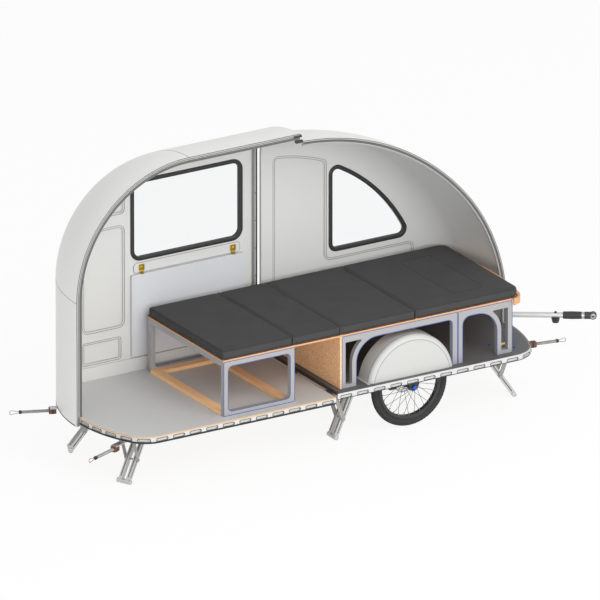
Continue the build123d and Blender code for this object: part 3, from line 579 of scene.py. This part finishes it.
SEAM_IN = WALL + 14.0
SEAM_LINES = ((-30.5, -26.0, BLACK_RUBBER), (-20.0, -18.4, GROOVE), (-10.5, -5.5, BLACK_RUBBER))
STUD = [(0.0, 0.0), (0.0, 1.6), (2.2, 1.6), (3.0, 0.6), (3.0, -0.5)]
seam = [pillar(SEAM_X + a, SEAM_X + b, SEAM_IN, 1.4, mat) for a, b, mat in SEAM_LINES]
for z in np.arange(REAR_TOP + 90, 1420, 170.0):
    seam.append(turned(STUD, (SEAM_X - 15.0, REAR_HALF - SEAM_IN, z), -LEFT, 10, GROOVE))
piece("seam_lines", seam)

# Shadow lines round the wall recesses: a thin dark line of painted shadow at each step's edge
FLAT = flat_line(1.2, -0.4, 0.5)


def recess_shadow_line(outline, y):
    """A flat narrow dark line carried round a recess outline, just proud of the wall: painted shade at the
    step's edge.
    """
    return strip(upright(evenly(outline, 14.0, closed=True), y), FLAT, -LEFT, SHADOW, closed=True)


def bent_panel(inset):
    """Front wall recess: an upright and a foot under the window, bounded above by the window's arc."""
    x0, x1, x2 = NOSE_X + 80 + inset, SILL_X - 15 - inset, SILL_X + 575 - inset
    z0, z1, r = FRONT_TOP + 126 + inset, SILL_Z - 34 - inset, ARC_R + 2 - inset
    along = np.linspace(x1, x0, 8)
    curve = np.stack([along, ARC_Z + np.sqrt(r**2 - (along - NOSE_X) ** 2)], 1)
    corners = np.concatenate([[(x0, z0), (x2, z0), (x2, z1), (x1, z1)], curve])
    bend = max(32 - inset, 4)
    return rounded(corners, [bend] * 3 + [32 + inset, bend] + [1.0] * (len(curve) - 2) + [bend])


PANEL_X = WINDOW[0] - 39
RECESSES = (
    (PANEL_X - 284, PANEL_X, 610, 1240, 40),
    (PANEL_X - 284, PANEL_X - 24, 416, 555, 14),
    (PANEL_X - 150, PANEL_X, 1310, 1440, 25),
)
TABLE_BATTEN = (-1347, -632.8, 926, 986, 16)
lines = []
for inset, depth in ((0.0, 0.0), (12.0, 3.0)):
    lines.append(recess_shadow_line(bent_panel(inset), FRONT_IN + depth))
    lines += [recess_shadow_line(inset_box(*recess, inset), INNER + depth) for recess in RECESSES]
lines.append(recess_shadow_line(rounded_box(*TABLE_BATTEN), INNER - 4))
piece("wall_recess_shadow_lines", lines)

# Rail slots: a pale pad in each pocket with a dark rim, in rows of distance out, stretch along and stretch up
SLOT_PITCH, SLOT_L, SLOT_H = 110.0, 75.0, 17.0
SLOT = rounded_box(-SLOT_L / 2, SLOT_L / 2, -SLOT_H / 2, SLOT_H / 2, 8.45, 7)
PAD_ROWS = ((-8.6, 0.02, 0.02), (-8.6, 0.98, 0.98))
RIM_ROWS = ((-1, 0.97, 0.88), (0.6, 0.97, 0.88), (0.6, 1.06, 1.26), (-0.2, 1.06, 1.26))


def rear_plan(off):
    """Plan points of the rear shell's bowed end, drawn in by an offset."""
    return crown_end(REAR_HALF - off, REAR_X + off, REAR_BOW - off, REAR_CORNER - off, -1)


def rail_path(end, edge):
    """Plan outline of a floor rail from its hinge edge round the bowed end and back."""
    return np.concatenate([[(edge, end[0, 1])], end, [(edge, end[-1, 1])]])


def stations(path, pitch):
    """Middles of even stretches of a plan path, as many as whole pitches fit, and the directions there."""
    gone = np.concatenate([[0], np.cumsum(np.linalg.norm(np.diff(path, axis=0), axis=1))])
    count = int(gone[-1] // pitch)
    at = (np.arange(count) + 0.5) / count * gone[-1]
    place, ahead = [np.stack([np.interp(a, gone, path[:, i]) for i in (0, 1)], 1) for a in (at, at + 2)]
    return place, unit(ahead - place)


rail_bits = []
rear_rail = rail_path(rear_plan(WALL), REAR_EDGE)
front_rail = rail_path(crown_end(FRONT_HALF, TIP, FRONT_BOW, FRONT_CORNER, 1), FRONT_EDGE)
for path, z, sense in ((rear_rail, REAR_RAIL + RAIL / 2, 1), (front_rail, FRONT_RAIL + RAIL / 2, -1)):
    for place, run in zip(*stations(path, SLOT_PITCH)):
        along, out = np.array([run[0], run[1], 0.0]), np.array([run[1], -run[0], 0.0]) * sense
        middle = np.array([place[0], place[1], z])
        for rows, mat in ((PAD_ROWS, SLOT_PALE), (RIM_ROWS, GROOVE)):
            rings = [middle + out * d + along * SLOT[:, :1] * s + UP * SLOT[:, 1:] * t for d, s, t in rows]
            rail_bits.append((np.stack(rings), False, True, mat))
piece("rail_slots", rail_bits)

# Dark lines on the rails: the front one's rubber top line, and a line along the foot of each
top_line = [(2, -0.3), (2, 0.6), (6, 0.6), (6, -0.3)]
lines = [strip(level(evenly(front_rail, STEP), FRONT_TOP), top_line, UP, BLACK_RUBBER)]
for path, z, way in ((rear_rail, REAR_RAIL, -1), (front_rail, FRONT_RAIL, 1)):
    foot = [(-0.5 * way, 0.2), (-0.5 * way, 4.5), (0.4 * way, 4.5), (0.4 * way, 0.2)]
    lines.append(strip(level(evenly(path, STEP), z), foot, UP, BLACK_RUBBER))
piece("rail_lines", lines)

# Rubber strip under the rear shell's lower edge, from the cut edge round to the seam
low = rear_plan(WALL / 2)
low = np.concatenate([[(SEAM_X - 2, REAR_HALF - WALL / 2)], low[low[:, 1] > 1.0]])
channel = [(-11, 5), (-11, -1), (-8, -4), (8, -4), (11, -1), (11, 5)]
foot_rubber = strip(level(evenly(low, STEP), SKIRT), channel, UP, BLACK_RUBBER)
piece("shell_foot_rubber", [foot_rubber])

# Dark joint strip between the two decks, over the front rail's hinge edge
half = FRONT_HALF - 6
joint = np.linspace((FRONT_EDGE + 4, -half, FRONT_TOP), (FRONT_EDGE + 4, half, FRONT_TOP), 12)
hook = [(9.5, 0.2), (8.5, 1.4), (-4.5, 1.4), (-5.5, 0.2), (-5.5, -15.5), (-3.9, -15.5), (-3.9, -0.2)]
face = [(-4.2, -15.0), (-5.9, -15.0), (-5.9, -12.0), (-4.2, -12.0)]
piece("deck_joint", [strip(joint, hook, UP, BLACK_RUBBER), strip(joint, face, UP, PALE_WOOD)])

# Cushions: foam pads swelled by a cloth run inside their covers, with piping round both edges
CUSHIONS = (
    ("rear", -1292.0, -816.0), ("waist", -816.0, -497.0), ("middle", -497.0, 11.0), ("front", 11.0, 712.0),
)
LAY, MATTRESS, SWELL = 677.0, 50.0, 2.5
VOXEL, PRESSURE, STEPS = 0.0085, 4.0, 12
SNIP_X, SNIP_Y, PAD_BEND = 32.0, 24.0, 4.0


def pad_outline(x0, x1, snip, inset):
    """Plan outline of a cushion, drawn in by an inset, its front corners cut on the front one."""
    x0, x1, half = x0 + 1 + inset, x1 - 1 - inset, BED_HALF - inset
    if not snip:
        return rounded_box(x0, x1, -half, half, PAD_BEND, 5)
    far, wide = x1 - SNIP_X, half - SNIP_Y
    corners = [(x0, -half), (far, -half), (x1, -wide), (x1, wide), (far, half), (x0, half)]
    return rounded(corners, [PAD_BEND] * len(corners), 5)


def coords(mesh):
    """A mesh's points as one array, a row each."""
    flat = np.empty(len(mesh.vertices) * 3)
    mesh.vertices.foreach_get("co", flat)
    return flat.reshape(-1, 3)


def swelled(name, outline, z0, z1):
    """A closed pad between two heights, remeshed, then blown up by cloth pressure, its movement capped."""
    ring = evenly(outline, STEP, closed=True)
    middle = ring.mean(0)
    ends = ((0.01, z0), (1, z0), (1, (z0 + z1) / 2), (1, z1), (0.01, z1))
    rows = [level(middle + (ring - middle) * s, z) for s, z in ends]
    made = piece(name, [(np.stack(rows), False, True, CLOTH)])
    shape = made.modifiers.new("even", "REMESH")
    shape.mode = "VOXEL"
    shape.voxel_size = VOXEL
    depth = bpy.context.evaluated_depsgraph_get()
    mesh = bpy.data.meshes.new_from_object(made.evaluated_get(depth))
    made.modifiers.clear()
    made.data = mesh
    start = moved = coords(mesh)
    cloth = made.modifiers.new("stuffing", "CLOTH")
    cloth.settings.use_pressure = True
    cloth.settings.uniform_pressure_force = PRESSURE
    cloth.settings.effector_weights.gravity = 0.0
    cloth.settings.quality = 3
    cloth.point_cache.frame_start, cloth.point_cache.frame_end = 1, STEPS
    for step in range(1, STEPS + 1):
        scene.frame_set(step)
    blown = made.evaluated_get(bpy.context.evaluated_depsgraph_get())
    moved = coords(blown.to_mesh())
    blown.to_mesh_clear()
    made.modifiers.clear()
    scene.frame_set(1)
    shift = moved - start
    far = np.linalg.norm(shift, axis=1, keepdims=True)
    final = start + shift * np.minimum(1.0, SWELL / 1000 / np.maximum(far, 1e-9))
    final[:, 2] = np.clip(final[:, 2], LAY / 1000 + 0.0003, None)
    mesh.vertices.foreach_set("co", final.ravel())
    mesh.polygons.foreach_set("use_smooth", np.ones(len(mesh.polygons), bool))
    mesh.update()
    smooth = made.modifiers.new("fine", "SUBSURF")
    smooth.levels = smooth.render_levels = 1
    return made, final


def welt(points, outline, z, radius):
    """A thin cord that follows the pad's own surface: points of an outline go to the nearest pad points."""
    near = (level(evenly(outline, FINE, closed=True), z) + OFFSET) / 1000
    gap = sum((near[:, None, i] - points[None, :, i]) ** 2 for i in range(3))
    found = points[gap.argmin(1)] * 1000 - OFFSET
    for _ in range(2):
        found = (np.roll(found, 1, 0) + 2 * found + np.roll(found, -1, 0)) / 4
    return strip(found, circle(radius, 8), UP, PIPING, closed=True)


welts = []
for name, x0, x1 in CUSHIONS:
    snip = name == "front"
    outline = pad_outline(x0, x1, snip, 1.2)
    pad, points = swelled(f"pad_{name}", outline, LAY + 0.6, LAY + MATTRESS - 1.2)
    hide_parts(f"cushion_{name}")
    welts.append(welt(points, outline, LAY + MATTRESS - 1.0, 1.8))
    foot = level(evenly(pad_outline(x0, x1, snip, 0.2), FINE, closed=True), LAY + 0.8)
    welts.append(strip(foot, circle(2.6, 8), UP, PIPING, closed=True))
front_seam = rounded_box(330, 540, -300, 300, 12.0, 5)
welts.append(welt(points, front_seam, LAY + MATTRESS, 1.0))
side, top = BED_HALF - 2.6, LAY + MATTRESS - 2.2
over = rounded([(-side, LAY + 1), (-side, top), (side, top), (side, LAY + 1)], [0.3, 4.0, 4.0, 0.3])
band = [(-6.5, -1.0), (-6.0, 0.6), (-0.8, 1.0), (0.0, 0.2), (0.8, 1.0), (6.0, 0.6), (6.5, -1.0)]
for _, x0, _ in CUSHIONS[1:]:
    link = crosswise(evenly(over, 6.0), x0)
    welts.append(strip(link, band, np.cross(FORE, np.gradient(link, axis=0)), CLOTH))
piece("cushion_piping", welts)


# Tyres: a rounded casing with a blocky road tread and a ribbed sidewall, placed by the angle from the crown
CASING, BLOCKS, TREAD_DEEP, SHOULDER, RIB, FURROW = TYRE_R - 0.6, 72, 0.6, 1.05, 1.35, 1.15


def tyre_surface(y):
    """A round casing about the rim, cut by square waves of angle and width where the tread lies."""
    turn = np.linspace(0, 2 * np.pi, 6 * BLOCKS, endpoint=False)[:, None]
    round_ = np.linspace(0, 2 * np.pi, 48, endpoint=False)[None, :]
    crown = np.abs((round_ + np.pi) % (2 * np.pi) - np.pi)
    slant = np.sign(np.sin(round_)) * crown * 0.25
    block = np.tanh(6 * np.sin(BLOCKS * (turn + slant * 0.35)))
    tread = np.clip((SHOULDER - crown) / 0.12, 0, 1) * TREAD_DEEP * (block - 1) * np.clip(crown / 0.2, 0, 1)
    rib = np.exp(-(((crown - RIB) / 0.06) ** 2)) - np.exp(-(((crown - FURROW) / 0.05) ** 2))
    r = CASING + tread + 0.5 * rib
    far = WHEEL_R - TYRE_R + r * np.cos(round_)
    return np.stack([far * np.cos(turn), y + r * np.sin(round_) + 0 * turn, WHEEL_R + far * np.sin(turn)], -1)


def radial(turn):
    """Direction straight out from the wheel axle at an angle about it."""
    return np.array([math.cos(turn), 0.0, math.sin(turn)])


# Wheel fittings: spoke nipples, a valve, a raised hoop pair on each rim face and the disc's bolts
NIPPLE, NIPPLE_R = [(0.1, 0), (2.0, 0), (2.2, 8), (2.8, 12), (2.8, 15)], 176
VALVE, VALVE_R, VALVE_TURN = [(0.1, 0), (2.4, 0), (2.8, 2), (2.8, 22), (4.2, 23), (4.2, 32)], 158, 0.1
DISC_BOLT, BOLT_RING, BOLTS = [(0.1, 2.2), (3.0, 2.2), (3.6, 1.2), (3.6, -0.4)], 27, 6
for side, s in (("left", 1), ("right", -1)):
    hub = np.array([0.0, s * WHEEL_Y, WHEEL_R])
    casing = [(tyre_surface(s * WHEEL_Y), True, True, TYRE)]
    rubber = piece(f"tyre_tread_{side}", casing, f"{side}_wheel", sharp=60)
    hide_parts(f"tyre_{side}")
    bits = []
    for i in range(SPOKES):
        way = radial(2 * np.pi * i / SPOKES)
        foot = hub + LEFT * (2.0 if i % 2 else -2.0) + way * NIPPLE_R
        bits.append(turned(NIPPLE, foot, way, 8, STEEL))
    way = radial(VALVE_TURN)
    bits.append(turned(VALVE, hub + way * VALVE_R, way, 10, BRASS))
    for r, h in ((190.5, 14.6), (205.5, 15.2)):
        hoop = [(r - 1.2, 0), (r, 0.9), (r + 1.2, 0)]
        bits += [turned(hoop, hub + LEFT * h * e, LEFT * e, 96, BLACK_COAT) for e in (-s, s)]
    for i in range(BOLTS):
        head = hub - LEFT * s * (DISC_INSET + 1) + radial(2 * np.pi * (i + 0.5) / BOLTS) * BOLT_RING
        bits.append(turned(DISC_BOLT, head, -s * LEFT, 8, BLACK_COAT))
    piece(f"wheel_fittings_{side}", bits, f"{side}_wheel")

# Joint lines outside the rear shell: where the roof's turn starts, and where it runs out on the rear wall
section = np.concatenate([section_path(0.0, 1560.0)[:-1], [(0.6, ROOF)]])
roof_joint = evenly(crosswise(section, TURN_BACK), STEP)
plan = rear_plan(0.0)
wall_joint = level(evenly(np.concatenate([plan[plan[:, 1] > 3.0], [(REAR_X, 0.6)]]), STEP), TURN_UP)
piece("shell_joints", [
    strip(path, FLAT, np.cross(np.gradient(path, axis=0), beside), SHADOW)
    for path, beside in ((roof_joint, FORE), (wall_joint, UP))
])

# A rubber lip beside the open seam, and the clamp blocks where the roof steps down
piece("seam_lip", [pillar(SEAM_X - 5, SEAM_X + 6, WALL, 4.0, BLACK_RUBBER)])
CLAMPS = ((-562.0, -508.0, 1761.0, 1776.0), (-548.0, -500.0, 1727.0, 1743.0))
CLAMP_ROWS = ((0.05, -5.0), (0.9, -5.0), (1.0, -3.5), (1.0, 9.0))
blocks = []
for sides in CLAMPS:
    shape = rounded_box(*sides, 4.0, 5)
    hub = shape.mean(0)
    rows = [upright(hub + (shape - hub) * grow, y) for grow, y in CLAMP_ROWS]
    blocks.append((np.stack(rows), False, True, BLACK_COAT))
piece("roof_clamps", blocks)

# Wheel arch edge lines, where the rounded rim meets the crown and the flat side
ARCH_X, ARCH_Z = -34.0, 301.0
rims = []
for r, y, up in ((288.0, 420.0, None), (258.0, 450.0, LEFT)):
    low = math.degrees(math.asin((FRONT_TOP + 3 - ARCH_Z) / r))
    path = upright(arc(ARCH_X, ARCH_Z, r, low, 180 - low, 70), y)
    out = path - np.array([ARCH_X, y, ARCH_Z]) if up is None else up
    rims.append(strip(path, FLAT, out, SHADOW))
piece("arch_lines", mirrored(rims))

# Blue edge lines round the bed's side frames: closed rings on the rear stand, hoops on the others
EDGE = flat_line(1.9, -0.4, 0.5)
RINGS = ((-1285.5, -810.5, 330.0, 663.0, 2.0), (-1257.0, -839.0, 354.0, 633.0, 28.0))
HOOPS = (
    (-491.5, 288.5, 663, 2, 2), (-395, 254, 624, 140, 28),
    (293.5, 658.5, 663, 2, 2), (323, 557, 624, 50, 130),
)


def edging(outline, closed=True):
    """A thin line along an outline on the frames' outer faces."""
    path = upright(evenly(outline, 12.0, closed=closed), BED_HALF)
    return strip(path, EDGE, LEFT, EDGE_BLUE, closed)


def hooped(x0, x1, top, back, front, foot=FRONT_TOP + 2):
    """Open outline up from the deck, across and down again, its upper corners rounded."""
    return rounded([(x0, foot), (x0, top), (x1, top), (x1, foot)], [0.5, back, front, 0.5])


edges = [edging(rounded_box(*ring)) for ring in RINGS] + [edging(hooped(*hoop), False) for hoop in HOOPS]
piece("frame_edging", mirrored(edges))

# Tie-downs: a ribbed spring over a core, a black end, a coated wire loop and a jacket on the block
COIL_PITCH, COIL_R = 7.0, 8.6
JACKET = rounded_box(-17, 17, -17, 17, 4.0, 5)
ties = []
for bx, by, bz, tx, ty in (
    (REAR_X + 50, REAR_HALF - 157, REAR_RAIL - 42, REAR_X - 186, REAR_HALF - 59),
    (TIP - 38, FRONT_HALF - 151, FRONT_RAIL + 15, TIP + 173, FRONT_HALF - 115),
):
    root, run = np.array([bx, by, bz]), math.hypot(tx - bx, ty - by)
    way = np.array([tx - bx, ty - by, 0.0]) / run
    side, neck = np.cross(UP, way), 0.78 * run
    turns = (neck - 34) / COIL_PITCH
    turn = np.linspace(0, 2 * np.pi * turns, int(turns * 14))[:, None]
    coil = root + way * (21 + turn / (2 * np.pi) * COIL_PITCH)
    coil = coil + (side * np.cos(turn) + UP * np.sin(turn)) * COIL_R
    core = [(0.1, 20), (8.2, 20), (8.2, neck - 12), (0.1, neck - 12)]
    cap = [(0.1, neck - 15), (10.4, neck - 15), (11.0, neck - 13), (11.0, neck - 2), (9.0, neck), (0.1, neck)]
    bend = arc(run - 14, 0, 12.2, -86, 86, 18)
    wire = evenly(np.concatenate([[(neck - 4, -2.5)], bend, [(neck - 4, 2.5)]]), 4.0)
    ties += [
        strip(coil, circle(1.9, 6), way, STEEL),
        turned(core, root, way, 16, TRIM_GREY),
        turned(cap, root, way, 20, BLACK_RUBBER),
        strip(root + way * wire[:, :1] + UP * wire[:, 1:], circle(1.8, 8), side, COPPER),
    ]
    for low, high, grow, mat in ((-17.0, 25.0, 1.0, TIE_BROWN), (0.0, 9.0, 1.05, BLACK_RUBBER)):
        body = root + way * np.linspace(low, high, 4)[:, None]
        ties.append(strip(body, JACKET * grow, UP, mat))
springs = piece("tie_coils", mirrored(ties))
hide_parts("tie_springs")

# Legs: profile grooves, pivot and brace bolts, round foot caps
# Each row: name, pivot x, y and z, heading of the lean, lean, brace bolt's distance below the pivot
LEGS = (
    ("rear", -1722.0, 230.0, 258.0, 155.0, 36.0, 165.0),
    ("mid", -376.81, 310.0, 258.0, 180.0, 24.0, 151.0),
    ("front", 600.0, 200.0, 275.0, 16.4, 34.0, 165.0),
)
LEG_DEEP, LEG_MID, LEG_OUT, FOOT_OUT, BRACE_OUT, FOOT_R = 14.0, 25.0, 36.0, 44.0, 48.0, 14.0
LEG_GROOVE = flat_line(2.4, -0.3, 0.4)
FOOT_CAP = [(13.9, -1), (13.9, 1.4), (12.6, 2.2), (10.8, 2.2), (10.2, 0.6), (0.1, 0.6)]
PIVOT_HEAD = [(7.0, -0.5), (7.0, 1.6), (5.6, 2.4), (0.1, 2.4)]
BRACE_HEAD = [(5.4, -0.5), (5.4, 2.0), (4.0, 3.2), (0.1, 3.2)]


def stood(patches, point, heading, lean):
    """Patches drawn about a leg's pivot, leant outward and turned to its heading."""
    h, t = math.radians(heading), math.radians(-lean)
    tip = np.array([(math.cos(t), 0, math.sin(t)), (0, 1, 0), (-math.sin(t), 0, math.cos(t))])
    turn = np.array([(math.cos(h), -math.sin(h), 0), (math.sin(h), math.cos(h), 0), (0, 0, 1)])
    return [(grid @ (turn @ tip).T + np.array(point), u, v, mat) for grid, u, v, mat in patches]


for name, px, py, pz, heading, lean, bolt in LEGS:
    length = (pz - FOOT_R) / math.cos(math.radians(lean))
    bits = []
    for s in (1, -1):
        for x, y, out in ((LEG_DEEP, LEG_MID, FORE), (-LEG_DEEP, LEG_MID, -FORE), (0.0, LEG_OUT, LEFT * s)):
            path = np.linspace((x, y * s, 6.0), (x, y * s, 24.0 - length), 6)
            bits.append(strip(path, LEG_GROOVE, out, GROOVE))
        bits += [
            turned(FOOT_CAP, (0, FOOT_OUT * s, -length), LEFT * s, 24, LEG_METAL),
            turned(PIVOT_HEAD, (0, LEG_OUT * s, 0), LEFT * s, 6, STEEL),
            turned(BRACE_HEAD, (0, BRACE_OUT * s, -bolt), LEFT * s, 12, STEEL),
        ]
    left = stood(bits, (px, py, pz), heading, lean)
    right = mirrored(left)[len(left):]
    piece(f"leg_fittings_left_{name}", left, f"left_{name}_leg")
    piece(f"leg_fittings_right_{name}", right, f"right_{name}_leg")

# Tow bar: the boot's skin, a bright ring, ridges, washers round the hitch eye and a stop bolt over the foot
ahead = np.array([math.cos(BAR_YAW), -math.sin(BAR_YAW), 0.0])
beside = np.array([math.sin(BAR_YAW), math.cos(BAR_YAW), 0.0])
root = np.array([BAR_BEND, BAR_Y, BAR_Z])
BOOT_END, RIDGES, STOP_AT = 522, (545.0, 556.0, 567.0), 370
boot = [(20.0, 413), (21.6, 415), (22.0, 424), (22.9, 467), (22.0, 510), (21.6, 520), (20.0, BOOT_END)]
ring = [(19.6, -1), (21.2, 0), (21.2, 6.5), (20.2, 7.5), (20.2, 9.5), (21.2, 10.5), (21.2, 16), (19.6, 17)]
ridge = [(21.4, -1.6), (22.3, -0.8), (22.3, 0.8), (21.4, 1.6)]
washer = [(8.1, -0.4), (8.1, 1.6), (9.0, 2.4), (15.0, 2.4), (16.0, 1.6), (16.0, -0.4)]
knob = [(6.0, 0), (6.0, 5.0), (4.8, 6.5), (0.1, 6.5)]
bits = [turned(boot, root, ahead, 36, BLACK_RUBBER), turned(ring, root + ahead * BOOT_END, ahead, 36, STEEL)]
bits += [turned(ridge, root + ahead * far, ahead, 32, BLACK_COAT) for far in RIDGES]
hitch = root + ahead * BAR_REACH
bits += [turned(washer, hitch + beside * 15 * s, beside * s, 32, STEEL) for s in (1, -1)]
bits.append(turned(knob, root + ahead * STOP_AT + UP * 16, UP, 16, BLACK_COAT))
piece("tow_fittings", bits)

# Floor: hinge knuckles, blue bolts by the nose and the small tan bracket beside them
HINGE_X = (FRONT_EDGE + REAR_EDGE) / 2
knuckle = [(7.1, -4.0), (7.8, -3.2), (7.8, 3.2), (7.1, 4.0)]
blue_bolt = [(7.5, 0), (7.5, 1.4), (5.0, 1.5), (5.0, 6.4), (4.0, 7.4), (0.1, 7.4)]
bits = [
    turned(knuckle, (HINGE_X, y + off, REAR_TOP + 2), LEFT, 20, BLACK_COAT)
    for y in (-400.0, 0.0, 400.0) for off in np.linspace(-22, 22, 5)
]
for x, y in ((605.0, -260.0), (710.0, -266.0), (707.0, -370.0)):
    bits.append(turned(blue_bolt, (x, y, FRONT_TOP), UP, 6, BLUE))
bracket = level([(622.0, -300.0), (655.0, -296.0), (692.0, -292.0)], FRONT_TOP + 4)
bits.append(strip(bracket, rounded_box(-6, 6, -4, 4, 1.5, 4), UP, PALE_WOOD))
piece("floor_fittings", bits)

# Floor, light and camera
scene.view_settings.view_transform = "Standard"
SKY_LIGHT, FLOOR_GLOW, REACH = 0.7, 0.9, 60


def backdrop_seen(tree):
    """One for rays from the camera, off metal or through glass."""
    ray = tree.nodes.new("ShaderNodeLightPath")
    seen = calc(tree, "MAXIMUM", ray.outputs["Is Camera Ray"], ray.outputs["Is Glossy Ray"])
    return calc(tree, "MAXIMUM", seen, ray.outputs["Is Transmission Ray"])


world = scene.world = bpy.data.worlds.new("studio")
world.use_nodes = True
sky = world.node_tree
sky.nodes["Background"].inputs["Color"].default_value = (1, 1, 1, 1)
strength = calc(sky, "MULTIPLY_ADD", backdrop_seen(sky), 1.0 - SKY_LIGHT, SKY_LIGHT)
sky.links.new(strength, sky.nodes["Background"].inputs["Strength"])

floor_mesh = bpy.data.meshes.new("studio_floor")
corners = [(-REACH, -REACH, 0), (REACH, -REACH, 0), (REACH, REACH, 0), (-REACH, REACH, 0)]
floor_mesh.from_pydata(corners, [], [(0, 1, 2, 3)])
floor = placed("studio_floor", floor_mesh)
PALE = bpy.data.materials.new("studio_floor")
PALE.use_nodes = True
ground = PALE.node_tree
matte = ground.nodes["Principled BSDF"]
matte.inputs["Base Color"].default_value = (0.9, 0.9, 0.9, 1)
matte.inputs["Roughness"].default_value = 0.9
glow = node(ground, "ShaderNodeEmission", Color=(1, 1, 1, 1), Strength=1.0)
share = calc(ground, "MULTIPLY", backdrop_seen(ground), FLOOR_GLOW)
both = node(ground, "ShaderNodeMixShader", i0=share, i1=matte.outputs[0], i2=glow.outputs[0])
ground.links.new(both.outputs[0], ground.nodes["Material Output"].inputs["Surface"])
floor_mesh.materials.append(PALE)


def lamp(name, place, aim, power, size):
    """A square soft lamp facing a point."""
    light = bpy.data.lights.new(name, "AREA")
    light.energy = power
    light.size = size
    holder = placed(name, light)
    holder.location = place
    holder.rotation_euler = (Vector(aim) - Vector(place)).to_track_quat("-Z", "Y").to_euler()


lamp("key", (1.5, -7.0, 7.0), (0, 0, 0.8), 360, 5.0)
lamp("fill", (-4.0, -8.5, 1.4), (0, 0, 0.7), 380, 6.0)
lamp("low", (2.6, -8.5, 0.7), (0.4, 0, 0.4), 110, 3.0)

VIEW_AZ, VIEW_EL = math.radians(-31.13), math.radians(20.95)
VIEW_AIM = Vector((-0.1804, 0, 0.758))
VIEW_WIDTH, LENS = 3.462, 1660.0
camera = bpy.data.cameras.new("camera")
camera.lens = LENS
camera.sensor_width = 36.0
away = VIEW_WIDTH * LENS / camera.sensor_width
camera.clip_end = 2 * away
flat = math.cos(VIEW_EL)
back_way = Vector((math.sin(VIEW_AZ) * flat, -math.cos(VIEW_AZ) * flat, math.sin(VIEW_EL)))
eye = placed("camera", camera)
eye.location = VIEW_AIM + back_way * away
eye.rotation_mode = "QUATERNION"
eye.rotation_quaternion = (-back_way).to_track_quat("-Z", "Y")
scene.camera = eye
